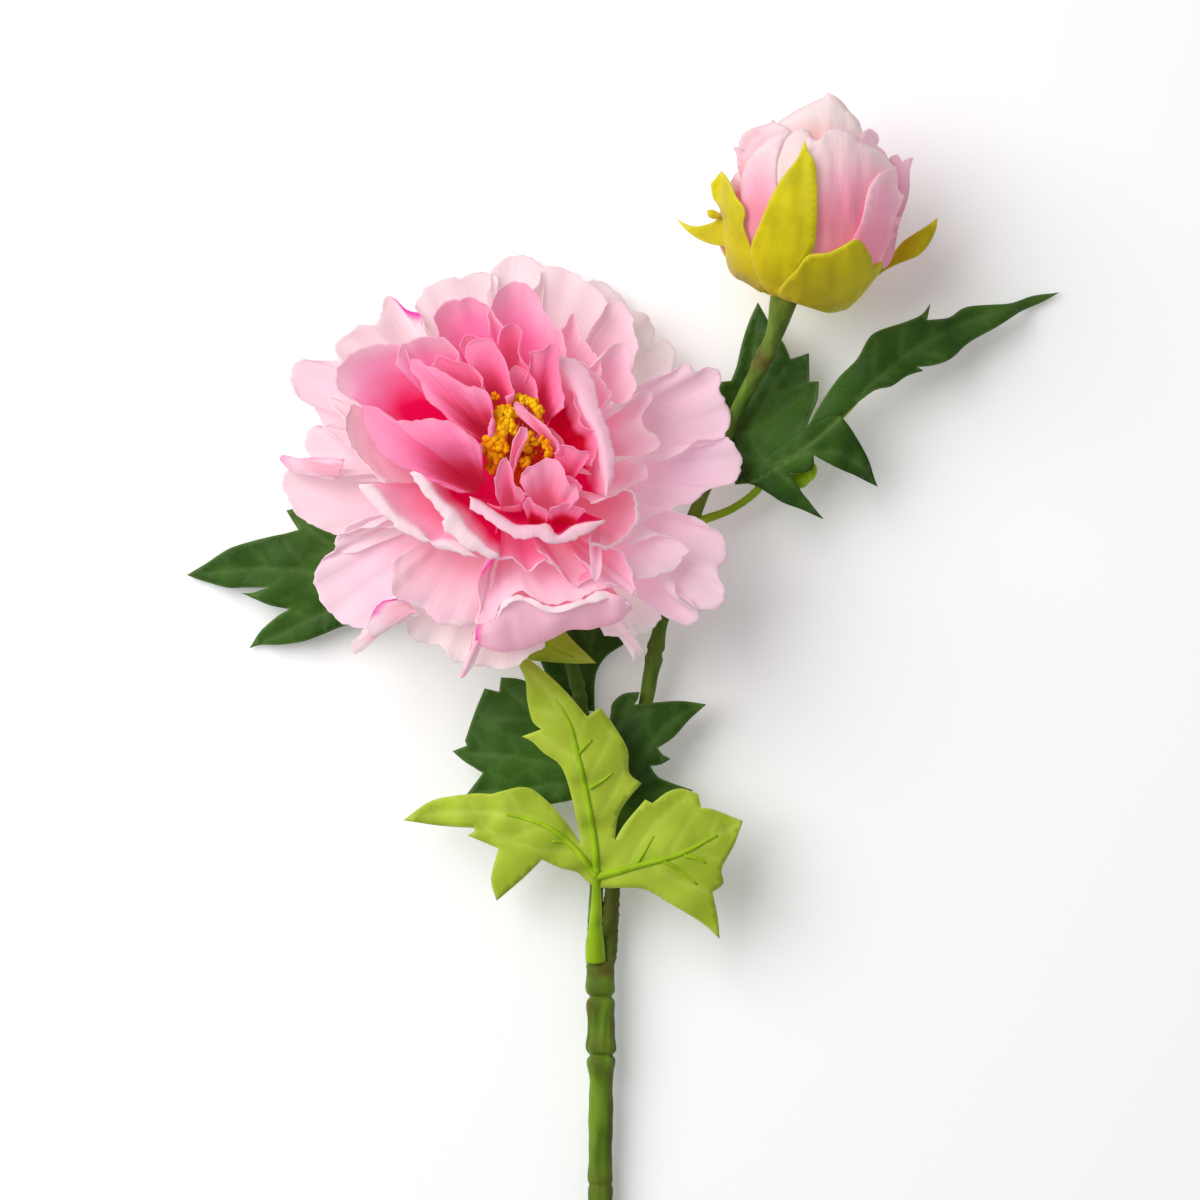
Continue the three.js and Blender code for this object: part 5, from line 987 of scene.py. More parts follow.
# The moulded middle that the petals of the bloom are pushed on to. Its deep colour is painted shade at the
# bottom of the bloom.
petalHub = dict(
    sides=32, outline=[(7.0, -4.6), (8.0, -4.0), (9.3, 0.0), (8.0, 4.0), (6.5, 5.0)],
    look=dict(along=0.1, across=0.0, tone=3.0, blush=0.8, cool=0.0, depth=1.0, frost=0.0, stain=0.0))
# Low petals close the gaps between the heart and the upright petals in front and to the right. Their high
# depth makes them deep crimson, as painted shade in those gaps.
guards = dict(
    turns=[-78, -34, 12],
    shape=dict(
        root=(6, 1), knee=(13, 5), tip=(14.5, 20), wide=9.5, shoulder=0.25, ruffle=0.4, blush=0.9, cool=0.0,
        depth=2.4, frost=0.2, thick=0.25))


def makeBloomPetals():
    hub = turnedPart(petalHub["outline"], petalHub["sides"], inBloom, **petalHub["look"])
    guardPetals = [
        plainPetal({**guards["shape"], "az": az}, inBloom, 171 + k) for k, az in enumerate(guards["turns"])]
    for name, ring, petals, extra, finish, firstSeed in (
        ("bloomSkirt", "skirt", skirtPetals, [hub], "bloomCloth", 11),
        ("bloomBowl", "bowl", bowlPetals, [], "bloomCloth", 61),
        ("bloomHeart", "heart", heartPetals, guardPetals, "heartCloth", 101),
    ):
        makePiece(name, fittedRing(petals, ringShapes[ring], firstSeed) + extra, finish, "bloom_petals")


# Stamens of the bloom. Heads are (x, y, h, size).
stamenHeads = [
    (-4.4, 22.7, 27, 1.3), (-2.6, 18.9, 29, 1.5), (-3.6, 17.3, 28.5, 1.5), (-0.6, 19.2, 29, 1.4),
    (0.7, 18.2, 29, 1.5), (-1.0, 17.3, 29.5, 1.5), (-2.2, 15.3, 30, 1.6), (-4.2, 14.6, 29, 1.6),
    (-0.2, 15.0, 30, 1.5), (-1.7, 13.4, 30, 1.6), (0.8, 13.5, 29.5, 1.4), (-3.2, 12.5, 29, 1.6),
    (-5.8, 10.2, 27, 1.9), (-3.5, 10.6, 28, 1.9), (-6.4, 8.4, 25.5, 1.9), (-1.9, 8.6, 28, 1.7),
    (-4.4, 7.6, 26, 1.9), (-4.8, 5.4, 24.5, 1.8), (-3.2, 5.8, 25.5, 1.6), (-5.2, 3.4, 22.5, 1.7),
    (0.6, 22.0, 29, 1.1), (2.0, 22.2, 29.5, 1.1), (3.6, 21.7, 30, 1.2), (5.0, 21.3, 30, 1.2),
    (6.3, 20.6, 30, 1.3), (7.1, 19.6, 30, 1.3), (7.6, 18.4, 30, 1.3), (7.2, 17.2, 29.5, 1.2),
    (6.8, 15.9, 29, 1.2), (8.0, 15.5, 28.5, 1.0), (5.2, 11.8, 26, 1.3), (6.6, 10.4, 26, 1.3),
    (4.6, 8.6, 25, 1.5), (8.8, 10.8, 27, 1.3), (9.6, 9.4, 27, 1.3), (10.4, 7.8, 27, 1.3),
    (10.2, 6.3, 26, 1.1), (3.8, 4.8, 26, 1.5), (6.4, 7.0, 23, 1.2), (2.4, 10.2, 25, 1.3),
]
# A flocked head is a few rough lumps that run into one another on the end of a thread.
lumpShape = dict(rows=7, cols=10, waves=((3, 2, 0.16), (5, 1, 0.1)), wide=(0.8, 1.15), tall=(0.85, 1.2))
threadShape = dict(
    spread=0.3, middleY=(11, 2.2), footHeight=6.0, radius=0.35, thickFoot=1.3, bendX=0.75, bendY=0.65, bendDrop=9,
    sides=7, rings=12, browning=(0.4, 0.5), sunkBelow=27.5, sunkOver=5)
headShape = dict(
    lumps=8, lumpSize=0.62, spread=0.62, rise=0.55, riseSpan=0.8, sizes=(0.75, 1.15), lowRise=-0.2, lowShade=0.3)
stamenCore = dict(sides=24, outline=[(4.6, 5.3), (5.2, 9.0), (4.6, 14.0), (2.5, 17.0)])


def lumpPart(middle, radius, chance, **values):
    rows, cols = lumpShape["rows"], lumpShape["cols"]
    theta = np.linspace(0, math.pi, rows + 2)[1:-1][:, None]
    phi = np.arange(cols)[None, :] / cols * 2 * math.pi
    rough = 1 + sum(
        size * np.sin(around * phi + chance.uniform(0, 6)) * np.sin(down * theta)
        for around, down, size in lumpShape["waves"])
    stretch = np.array([chance.uniform(*lumpShape[key]) for key in ("wide", "wide", "tall")])
    ball = np.stack([
        np.sin(theta) * np.cos(phi) * rough, np.sin(theta) * np.sin(phi) * rough,
        np.cos(theta) * np.ones_like(phi)], axis=-1) * radius * stretch + middle
    pole = np.array([0, 0, radius * stretch[2]])
    return ringsPart(ball[::-1], middle - pole, middle + pole, **values)


def makeStamens():
    parts = []
    chance = random.Random(5)
    thread, head = threadShape, headShape
    for x, y, h, size in stamenHeads:
        sunk = float(np.clip((thread["sunkBelow"] - h) / thread["sunkOver"], 0, 1))
        middleFrom, middleTo = thread["middleY"]
        footX, footY = x * thread["spread"], middleTo + (y - middleFrom) * thread["spread"]
        middle = bloomPlace([x, y, h])
        foot = bloomPlace([footX, footY, thread["footHeight"]])
        bendY = (1 - thread["bendY"]) * footY + thread["bendY"] * y
        half = bloomPlace([x * thread["bendX"], bendY, h - thread["bendDrop"]])
        radius = thread["radius"]
        stations = [(*foot, radius * thread["thickFoot"]), (*half, radius), (*middle, radius)]
        # Painted shade: each thread browns towards its foot, the more so under a low head.
        least, more = thread["browning"]
        shade = np.linspace(1.0, least + more * sunk, thread["rings"])
        parts.append(rodPart(stations, thread["sides"], thread["rings"], depth=shade))
        for _ in range(head["lumps"]):
            turn, rise = chance.uniform(0, 2 * math.pi), chance.uniform(-head["riseSpan"], head["riseSpan"])
            spread = size * head["spread"] * math.sqrt(1 - rise * rise)
            spot = middle + np.array([spread * math.cos(turn), spread * math.sin(turn), size * head["rise"] * rise])
            lump = size * head["lumpSize"] * chance.uniform(*head["sizes"])
            # Painted shade: lumps of a low head, and lumps on the under side of any head, are browned.
            shade = min(1.0, sunk + head["lowShade"] * (rise < head["lowRise"]))
            parts.append(lumpPart(spot, lump, chance, depth=shade))
    # The core under the heads is browned all over, as painted shade.
    parts.append(turnedPart(stamenCore["outline"], stamenCore["sides"], inBloom, depth=1.0))
    makePiece("stamenHeads", parts, "stamenFlock", "bloom_stamens")


calyx = dict(
    sides=32, cup=[(0.4, -14.0), (2.7, -14.0), (4.6, -11.6), (6.5, -9.5), (8.1, -6.6), (8.3, -5.5), (7.4, -4.9)],
    sepals=[
        dict(az=-80, tip=(29, -9)), dict(az=-8, tip=(28, -12)), dict(az=64, tip=(27, -14)),
        dict(az=136, tip=(28, -14)), dict(az=208, tip=(29, -11))],
    shape=dict(root=(5, -7), knee=(18, -9), wide=9, cup=1.0, wrap=0.2, ruffle=0.6, shoulder=0.6),
)


def makeCalyx():
    parts = [turnedPart(calyx["cup"], calyx["sides"], inBloom, vein=0.0, edge=1.0)]
    parts += [plainPetal({**calyx["shape"], **sepal}, inBloom, 91 + k) for k, sepal in enumerate(calyx["sepals"])]
    makePiece("bloomCalyx", parts, "sepalCloth", "bloom_calyx")


makeStamens()
makeBloomPetals()
makeCalyx()


# Flat shapes cut to an outline. Its points are (x, y), or (x, y, 1) at a sharp corner, and between corners the
# edge is a smooth curve.
def outlineCurve(points, spacing):
    plan = np.array([point[:2] for point in points], float)
    sharp = [len(point) > 2 for point in points]
    curve = []
    for k, here in enumerate(plan):
        after = (k + 1) % len(plan)
        there = plan[after]
        before = here - (there - here) if sharp[k] else plan[k - 1]
        beyond = there + (there - here) if sharp[after] else plan[(k + 2) % len(plan)]
        steps = max(1, round(float(np.linalg.norm(there - here)) / spacing))
        u = (np.arange(steps) / steps)[:, None]
        curve.append(smoothSpan(u, here, there, (there - before) * 0.5, (beyond - here) * 0.5))
    return np.concatenate(curve)


def insideOutline(spots, outline):
    ahead = np.roll(outline, -1, axis=0)
    x, y = spots[:, 0:1], spots[:, 1:2]
    crosses = (outline[:, 1] > y) != (ahead[:, 1] > y)
    slope = (ahead[:, 0] - outline[:, 0]) / np.where(ahead[:, 1] == outline[:, 1], 1e-9, ahead[:, 1] - outline[:, 1])
    reach = outline[:, 0] + (y - outline[:, 1]) * slope
    return (crosses & (x < reach)).sum(axis=1) % 2 == 1


# Distance from each spot to the nearest of some straight pieces, given by their starts and ends.
def distanceTo(spots, starts, ends):
    best = np.full(len(spots), 1e9)
    for start, along in zip(starts, ends - starts):
        share = np.clip(((spots - start) @ along) / max(float(along @ along), 1e-9), 0, 1)
        best = np.minimum(best, np.linalg.norm(spots - start - share[:, None] * along, axis=1))
    return best


def distanceBetween(spots, others):
    return np.linalg.norm(spots[:, None, :] - others[None, :, :], axis=2).min(axis=1)


def closedPath(outline):
    return outline, np.roll(outline, -1, axis=0)


def openPaths(paths):
    return np.concatenate([path[:-1] for path in paths]), np.concatenate([path[1:] for path in paths])


# Least gaps between the points of a cut sheet, in shares of their spacing.
gaps = dict(lineEdge=0.35, lineLine=0.62, joined=1.4, fieldEdge=0.6, fieldLine=0.55, row=0.866)


# A thin sheet cut to an outline. lines are paths in plan that edges of its mesh follow.
def cutPart(points, spacing, thick, heightAt, lines, valuesAt):
    outline = outlineCurve(points, spacing)
    marked, joins = np.empty((0, 2)), []
    for line in lines:
        inner = line[insideOutline(line, outline)]
        inner = inner[distanceTo(inner, *closedPath(outline)) > gaps["lineEdge"] * spacing]
        if len(marked) and len(inner):
            inner = inner[distanceBetween(inner, marked) > gaps["lineLine"] * spacing]
        if len(inner) < 2:
            continue
        taken = len(outline) + len(marked)
        near = np.flatnonzero(pathSteps(inner) < gaps["joined"] * spacing).tolist()
        joins += [(taken + k, taken + k + 1) for k in near]
        marked = np.concatenate([marked, inner])
    low, high = outline.min(axis=0), outline.max(axis=0)
    across = np.arange(low[0], high[0], spacing)
    field = np.concatenate([
        np.stack([across + (k % 2) * spacing / 2, np.full_like(across, y)], axis=1)
        for k, y in enumerate(np.arange(low[1], high[1], spacing * gaps["row"]))])
    field = field[insideOutline(field, outline)]
    field = field[distanceTo(field, *closedPath(outline)) > gaps["fieldEdge"] * spacing]
    if len(marked):
        field = field[distanceBetween(field, marked) > gaps["fieldLine"] * spacing]
    plan = [Vector(spot) for spot in np.concatenate([outline, marked, field]).tolist()]
    corners, _, faces, _, _, _ = delaunay_2d_cdt(plan, joins, [list(range(len(outline)))], 1, 1e-4)
    plan = np.array([tuple(corner) for corner in corners])
    faces = np.array([(face[0], face[k], face[k + 1]) for face in faces for k in range(1, len(face) - 1)])
    a, b, c = (plan[faces[:, k]] for k in range(3))
    turn = (b[:, 0] - a[:, 0]) * (c[:, 1] - a[:, 1]) - (b[:, 1] - a[:, 1]) * (c[:, 0] - a[:, 0])
    faces = np.where((turn < 0)[:, None], faces[:, ::-1], faces)[np.abs(turn) > 1e-5]

    middle = np.column_stack([plan, heightAt(plan)])
    a, b, c = (middle[faces[:, k]] for k in range(3))
    normal = np.zeros_like(middle)
    for k in range(3):
        np.add.at(normal, faces[:, k], np.cross(b - a, c - a))
    normal = unit(normal)
    size = len(plan)
    edges = [(face[k], face[(k + 1) % 3]) for face in faces.tolist() for k in range(3)]
    known = set(edges)
    walls = [(v, u, u + size, v + size) for u, v in edges if (v, u) not in known]
    both = faces.tolist() + (faces[:, ::-1] + size).tolist()
    return dict(
        points=np.concatenate([middle + normal * thick / 2, middle - normal * thick / 2]), faces=both + walls,
        even=np.arange(len(both) + len(walls)) < len(both),
        values={key: np.tile(value, 2) for key, value in valuesAt(plan).items()})


# joint and ribs are x, y and z. fold is the rise of the blade per mm away from a rib. veins branch off the ribs.
leafDefaults = dict(
    cloth="darkCloth", plastic="darkRib", onTop=False, ripple=0.8, ribWide=1.0, veinStep=8.0, twigs=[], knobs=[])
leaves = dict(
    limeLeaf=dict(node="leaf_lime", cloth="limeCloth", plastic="ribPlastic", onTop=True, fold=-0.1, ripple=0.7,
        ribWide=1.15, veinStep=11, joint=(-1, -76.5, 22),
        ribs=[[(-1.5, -67.5, 24), (-3.5, -55, 27), (-6, -43, 29), (-9, -32.5, 29.5), (-15, -24.5, 28.5),
        (-22, -17.5, 26.5)], [(9.5, -73.5, 24), (22, -70, 25), (30, -66, 24), (38, -62, 22)], [(-7, -68.5, 24),
        (-14.5, -62.5, 25.5), (-23.5, -59.5, 25), (-34, -58.5, 22), (-48, -59.5, 17)]], ribEnds=[0.8, 0.86, 0.62],
        twigs=[[(-6.2, -42.3), (-4.2, -40.4), (-2.3, -38.4)], [(-2.8, -51.8), (0.4, -49.8), (3.3, -47.6)],
        [(9.9, -72.8), (12.4, -69), (14.8, -65)], [(14.8, -71), (20.4, -73.4), (26.6, -78.2)], [(23.2, -70.4),
        (26, -71), (29, -72.4)], [(-7.6, -67.4), (-10.6, -66.6), (-13.2, -66.4)]],
        edge=[(-5, -67.5, 1), (-7.5, -55.5), (-10.5, -46), (-15.5, -42), (-18.5, -39), (-21.5, -37.5, 1),
        (-16, -35.5, 1), (-18.5, -33.5), (-20, -27.5), (-20.5, -22), (-24, -14.8, 1), (-22.8, -13.8, 1), (-16, -19),
        (-10, -24.5), (-3.5, -32, 1), (0, -29.5, 1), (3.5, -34), (7.5, -41), (8, -47.5), (11.5, -50.5, 1), (8, -54.5),
        (5, -59.5), (4, -66.5, 1), (7, -61.5), (12.5, -55, 1), (14.5, -56, 1), (18.5, -53), (22.5, -52),
        (27, -53.5, 1), (28, -57.5, 1), (30.5, -57.5), (39.5, -61, 1), (37, -67.5), (33.5, -74), (34, -78),
        (31, -80.5, 1), (32.5, -87.5), (33, -93.5, 1), (28, -89), (19, -83.5), (11.5, -79.5), (1.5, -79.5),
        (-2.5, -78.5), (-6.5, -75), (-10.5, -74), (-16, -71.5, 1), (-21, -76.5), (-28.5, -83, 1), (-30, -77),
        (-28, -68.5, 1), (-36.5, -65, 1), (-34.5, -63), (-44, -62.5), (-54.5, -61, 1), (-46.5, -55.5), (-35.5, -53.5),
        (-30, -53.5, 1), (-21, -51.5), (-15.5, -54.5), (-9.5, -61)],
        stalk=[(-1, -84, 19, 1.5), (-1.3, -91, 14, 2), (-1.4, -96, 11.6, 2.7), (-1.2, -100.2, 10.2, 2.9)]),
    rightLeaf=dict(node="leaf_right", plastic="ribPlastic", fold=0.06, ribWide=1, veinStep=9, joint=(47, 37, 19),
        ribs=[[(58, 43, 21), (67, 51, 21), (76, 60.5, 20), (88, 70, 16.5), (104, 78, 11), (127, 85.5, 2.5)],
        [(54, 39.5, 20.5), (64, 41, 20), (71, 38, 17), (76, 33, 13)], [(52, 33, 19), (57, 28, 16), (61.5, 23.5, 12)],
        [(42, 44, 15), (46, 56, 12), (51, 64, 11)], [(39, 41, 15), (38, 50, 11.5), (41.5, 62, 9), (44, 80, 7)]],
        edge=[(57, 47.5, 1), (62.5, 56.5), (66.5, 62), (71, 66.5), (74, 72), (77, 74.5), (84.5, 77), (89, 79),
        (91.5, 82, 1), (90.5, 77.5, 1), (97, 78.5), (102, 81.5), (113.5, 82.5), (121, 85), (128.5, 86, 1), (124, 83.5),
        (117.5, 80.5), (110.5, 76), (102.5, 71.5), (97.5, 67), (92.5, 65), (88, 64.5, 1), (89.5, 63.5, 1), (85, 62),
        (80.5, 59), (76, 58), (70.5, 54), (66, 50), (60, 44.5), (53, 39), (46, 34.5), (41.5, 32.5), (37.5, 32, 1),
        (35.5, 38), (34.5, 47), (33, 55), (33, 60.5, 1), (36.5, 61, 1), (38, 65), (39.5, 71.5), (41.5, 77.5),
        (44, 83, 1), (48.5, 75), (51, 71.5), (53, 67, 1), (58, 68.5, 1), (58, 60.5, 1), (60.5, 60.5, 1), (60, 55.5),
        (58, 50.5)], overLift=0.9, overEdge=[(38, 32.5, 1), (43, 37.5), (48, 41.5), (52.5, 45), (57, 48), (61, 50.3),
        (66.5, 51, 1), (70.5, 45.5), (74, 39.5), (77, 31.5, 1), (70.5, 34.5), (64.5, 37), (59, 40, 1), (58.5, 36),
        (52.5, 35, 1), (56.5, 29), (62, 22.5, 1), (56, 25), (50.5, 27), (46.5, 29.5), (42.5, 31.8)],
        stalk=[(44, 31, 15.4, 1.1), (37, 25.5, 14, 1.1), (25.5, 21.2, 13.6, 1.3)], knobs=[[(46, 33, 14.5, 0.9),
        (50.5, 33.2, 14, 1.2), (53.5, 33, 13.6, 2.2), (55.6, 33.4, 13.4, 2.5), (57, 35, 13.6, 2),
        (57.5, 37.5, 14, 0.8)], [(55, 34.5, 12.8, 1.2), (57.6, 34.6, 12.6, 1.9), (58.8, 36.2, 12.8, 1.6),
        (58.8, 38, 13, 0.8)]]),
    leftLeaf=dict(node="leaf_left", fold=0.05, ribWide=1, veinStep=9, joint=(-60, 4, 9),
        ribs=[[(-72, 6, 10.5), (-86, 8.5, 9.5), (-100, 8.5, 6), (-113, 7.2, 2)], [(-70, 0, 9.5), (-80, -5, 7.5),
        (-90, -10, 4.5), (-97, -13, 2)], [(-68, 12, 9.5), (-78, 17.5, 8.5), (-85.5, 24, 6)]],
        edge=[(-115.5, 7, 1), (-110.5, 10), (-106.5, 12.5), (-103, 14.5), (-98.5, 16), (-92.5, 17.5), (-87.5, 18.5),
        (-84, 19.5, 1), (-86, 22.5), (-87.5, 25, 1), (-85, 25.5, 1), (-83.5, 23.5), (-79, 20.5), (-73, 18),
        (-63.5, 15.5), (-55.5, 10.5), (-51.5, 4, 1), (-54.5, -3.5), (-62.5, -6), (-70.5, -7), (-77, -9.5),
        (-82.5, -11.5), (-89.5, -12.5), (-95, -12.5), (-98, -13.5, 1), (-95.5, -9.5), (-93, -7), (-90, -4.5),
        (-86.5, -2.5, 1), (-91.5, -1.5), (-95.5, 0), (-100, 2, 1), (-97, 2), (-92.5, 3.5, 1), (-98.5, 3.5),
        (-104, 3.5), (-111.5, 5.5)],
        stalk=[(-48, 1.5, 6.6, 1.1), (-32, -1, 5, 1.1), (-14.2, -1.5, 4.8, 1.3)]),
    centreLeftLeaf=dict(node="leaf_centre_left", fold=0.06, ripple=0.9, ribWide=1, veinStep=8, joint=(-4, -51.5, 13.5),
        ribs=[[(-12, -46, 15.5), (-24, -43.5, 15), (-39, -42.3, 11)], [(-9, -40, 15.5), (-19, -31, 15.5),
        (-27, -23.5, 13)], [(-12, -51, 15), (-24, -53, 14), (-35, -53.6, 10)]],
        edge=[(1.5, -48.5, 1), (-11, -31), (-16.5, -25), (-22, -22), (-27.5, -21.5, 1), (-28, -25.5, 1),
        (-32, -24.5, 1), (-34.5, -30.5), (-37.5, -39, 1), (-37, -40.5, 1), (-41, -42, 1), (-37.5, -45),
        (-32.5, -48, 1), (-37, -54, 1), (-27.5, -57), (-19.5, -57.5), (-13, -56.5), (-5.5, -54.5)],
        stalk=[(-0.5, -62, 11.6, 1), (-1, -69, 10.3, 1), (-1, -76, 7, 1.1)]),
    centreRightLeaf=dict(node="leaf_centre_right", fold=0.06, ribWide=1, veinStep=8, joint=(6, -62, 13.5),
        ribs=[[(9, -50, 15), (14, -40, 15.5), (20, -33.5, 14.5), (28, -29.5, 12)], [(4.5, -49, 15), (4.5, -38, 15.5),
        (8.5, -27.5, 14)], [(12, -54.5, 14.5), (18, -53, 13), (25, -53, 10.5)]],
        edge=[(3.5, -65.5, 1), (1.5, -50), (2, -39), (3, -31), (3.5, -28.5), (6.5, -26), (11, -25.5, 1), (10.5, -27.5),
        (9.5, -29, 1), (14, -28.5), (22, -28), (29.5, -29, 1), (24.5, -33.5), (20.5, -38), (16, -41, 1), (17.5, -43),
        (19.5, -44, 1), (17, -45.5), (14, -46, 1), (16, -49), (20.5, -51), (26, -53, 1), (21, -54.5), (15.5, -58),
        (11, -62.5)],
        stalk=[(4.8, -69, 11.8, 1), (4.4, -74, 10.7, 1), (3.6, -80, 7.3, 1.1)]),
    underBloomLeaf=dict(node="leaf_under_bloom", fold=0.05, ripple=0.5, ribWide=0.8, veinStep=8,
        joint=(-4.5, -27.5, 4),
        ribs=[[(-4, -19, 3.6), (-2, -11, 3.6), (-0.5, 1, 3.8)], [(-6, -16, 3.2), (-9, -6, 2.5), (-10.8, 6, 1.8)],
        [(-11, -17.5, 3), (-16, -10, 2.2), (-19, -4.5, 1.4)]],
        edge=[(-1.5, -31, 1), (-1.5, -23), (-0.5, -19), (2, -15.5), (6.5, -12.5, 1), (6, -5.5), (0, 4), (-4, 0, 1),
        (-11, 8, 1), (-14.5, 0), (-19.5, -3, 1), (-19, -11), (-16.5, -17.5), (-13.5, -23.5), (-9.5, -27.5),
        (-5.5, -31, 1)],
        stalk=[(-4.2, -34, 3, 0.9), (-3.6, -40, 5, 0.9), (-3, -44, 7.4, 1)]),
    bractLeaf=dict(node="leaf_bract", cloth="limeCloth", plastic="ribPlastic", onTop=True, fold=-0.08, ripple=0.5,
        ribWide=0.8, veinStep=8, joint=(-22, -5.5, 19),
        ribs=[[(-14, -12.5, 21), (-7.5, -15.5, 21.5), (-2.5, -17, 21)]],
        edge=[(-1, -17.5, 1), (-4, -14.5), (-9, -9.5), (-13, -4), (-19.5, -1.5), (-24, -3.5), (-26, -8.5),
        (-23.5, -14), (-19.5, -16.5), (-15, -17), (-8.5, -17.5)],
        stalk=[(-25.5, -1.5, 19.6, 1), (-27.5, 6, 12, 1), (-23, 18, 3.6, 1.1)]),
)
leafCut = dict(
    thick=0.45, spacing=1.5, groove=0.45, quilt=0.22, grooveWide=1.3, quiltWide=1.1,
    ribInk=0.9, veinInk=0.6, veinShare=0.6, edgeUnit=1.5, rippleFrom=8, rippleX=(0.33, 0.9), rippleY=0.29)
veinPath = dict(
    first=0.8, apart=0.55, endGap=4, leaves=52, bends=1.6, step=1.2, steps=24, edgeGap=1.4, ribGap=1.5, ribShare=0.6)
ribShape = dict(
    sides=10, endShare=0.8, taper=(1.0, 0.28, 0.8), proud=0.12, hangs=1.3, twigTaper=(0.62, 0.3), twigSides=8,
    twigRings=(10, 12), twigProud=0.05, stalkOver=0.35, stalkUnder=-1.35, stalkMesh=(12, 40), knobMesh=(14, 16))


# The blade follows its ribs in height, and folds and ripples away from them.
def leafHeight(leaf, spots):
    starts, ends = openPaths([np.array([leaf["joint"], *rib], float) for rib in leaf["ribs"]])
    nodes = np.concatenate([[leaf["joint"]], ends])
    weight = 1 / (((spots[:, None, :] - nodes[None, :, :2]) ** 2).sum(axis=2) + 1e-6) ** 2
    base = (weight * nodes[:, 2]).sum(axis=1) / weight.sum(axis=1)
    away = distanceTo(spots, starts[:, :2], ends[:, :2])
    stretch, shift = leafCut["rippleX"]
    ripple = np.sin(stretch * spots[:, 0] + shift) * np.cos(leafCut["rippleY"] * spots[:, 1])
    return base + leaf["fold"] * away + leaf["ripple"] * smoothStep(away, 0, leafCut["rippleFrom"]) * ripple


# Side veins leave a rib to both sides in turn and bend forward until they near the edge or another rib.
def sideVeins(leaf, outline, ribPaths):
    veins = []
    for own, path in enumerate(ribPaths):
        run = runAlong(pathSteps(path))
        others = [other for k, other in enumerate(ribPaths) if k != own]
        spot, hand = leaf["veinStep"] * veinPath["first"], 1
        while spot < run[-1] - veinPath["endGap"]:
            here, ahead = (np.array([np.interp(at, run, path[:, k]) for k in (0, 1)]) for at in (spot, spot + 1))
            heading = math.atan2(*(ahead - here)[::-1]) + hand * math.radians(veinPath["leaves"])
            vein = [here]
            for _ in range(veinPath["steps"]):
                heading -= hand * math.radians(veinPath["bends"])
                following = vein[-1] + veinPath["step"] * np.array([math.cos(heading), math.sin(heading)])
                spots = following[None, :]
                edgeGap = distanceTo(spots, *closedPath(outline))[0]
                if not insideOutline(spots, outline)[0] or edgeGap < veinPath["edgeGap"]:
                    break
                least = max(veinPath["ribGap"], veinPath["ribShare"] * distanceTo(spots, *openPaths([path]))[0])
                if any(distanceTo(spots, *openPaths([other]))[0] < least for other in others):
                    break
                vein.append(following)
            if len(vein) > 3:
                veins.append(np.array(vein))
            spot += leaf["veinStep"] * veinPath["apart"]
            hand = -hand
    return veins


def makeLeaf(name, leaf):
    outline = outlineCurve(leaf["edge"], leafCut["spacing"])
    ribPaths = []
    for rib in leaf["ribs"]:
        stations = [point[:2] for point in (leaf["joint"], *rib)]
        ribPaths.append(curveThrough(stations, max(4, int(pathSteps(stations).sum() / leafCut["spacing"]))))
    veins = sideVeins(leaf, outline, ribPaths)

    def nearLines(spots, ribWide, veinWide):
        return (bell(distanceTo(spots, *openPaths(ribPaths)), ribWide),
                bell(distanceTo(spots, *openPaths(veins)), veinWide))

    def relief(spots):
        rib, vein = nearLines(spots, leafCut["grooveWide"], leafCut["quiltWide"])
        return leafHeight(leaf, spots) - leafCut["groove"] * rib - leafCut["quilt"] * vein

    def marks(spots):
        rib, vein = nearLines(spots, leafCut["ribInk"], leafCut["veinInk"])
        edge = distanceTo(spots, *closedPath(outline)) / leafCut["edgeUnit"]
        return dict(vein=np.maximum(rib, leafCut["veinShare"] * vein), edge=edge)

    seams = ribPaths + [path[1:] for path in veins]
    blade = [cutPart(leaf["edge"], leafCut["spacing"], leafCut["thick"], relief, seams, marks)]
    if "overEdge" in leaf:
        blade.append(cutPart(
            leaf["overEdge"], leafCut["spacing"], leafCut["thick"], lambda spots: relief(spots) + leaf["overLift"],
            seams, marks))
    makePiece(
        f"{name}Blade", blade, leaf["cloth"], f"{leaf['node']}_blade")

    # The moulded ribs stand proud on one side of the blade, and the stalk carries on from them.
    def makeRod(plan, radius, proud, sides, count):
        z = relief(plan) + (1 if leaf["onTop"] else -1) * (leafCut["thick"] / 2 + proud)
        rods.append(rodPart(np.column_stack([plan, z, radius]), sides, count, joint=0.0, rightSide=0.0))

    rods = []
    for path, endShare in zip(ribPaths, leaf.get("ribEnds", [ribShape["endShare"]] * len(ribPaths))):
        reach = path[: max(4, int(len(path) * endShare))]
        thick, thin, power = ribShape["taper"]
        radius = leaf["ribWide"] * np.linspace(thick, thin, len(reach)) ** power
        proud = (ribShape["proud"] if leaf["onTop"] else ribShape["hangs"]) * radius
        makeRod(reach, radius, proud, ribShape["sides"], len(reach) * 2)
    stations, rings = ribShape["twigRings"]
    for twig in leaf["twigs"]:
        radius = np.linspace(*ribShape["twigTaper"], stations)
        makeRod(curveThrough(twig, stations), radius, ribShape["twigProud"], ribShape["twigSides"], rings)
    start = np.array([ribPaths[0][1], leaf["joint"][:2]], float)
    z = [relief(spot[None, :])[0] + ribShape["stalkOver" if leaf["onTop"] else "stalkUnder"] for spot in start]
    stalk = [*np.column_stack([start, z, [leaf["ribWide"]] * 2]), *leaf["stalk"]]
    rods.append(rodPart(stalk, *ribShape["stalkMesh"], joint=1.0, rightSide=0.0))
    rods += [rodPart(knob, *ribShape["knobMesh"], joint=0.0, rightSide=0.0) for knob in leaf["knobs"]]
    makePiece(f"{name}Rib", rods, leaf["plastic"], f"{leaf['node']}_rib")


for leafName, leafShape in leaves.items():
    makeLeaf(leafName, {**leafDefaults, **leafShape})


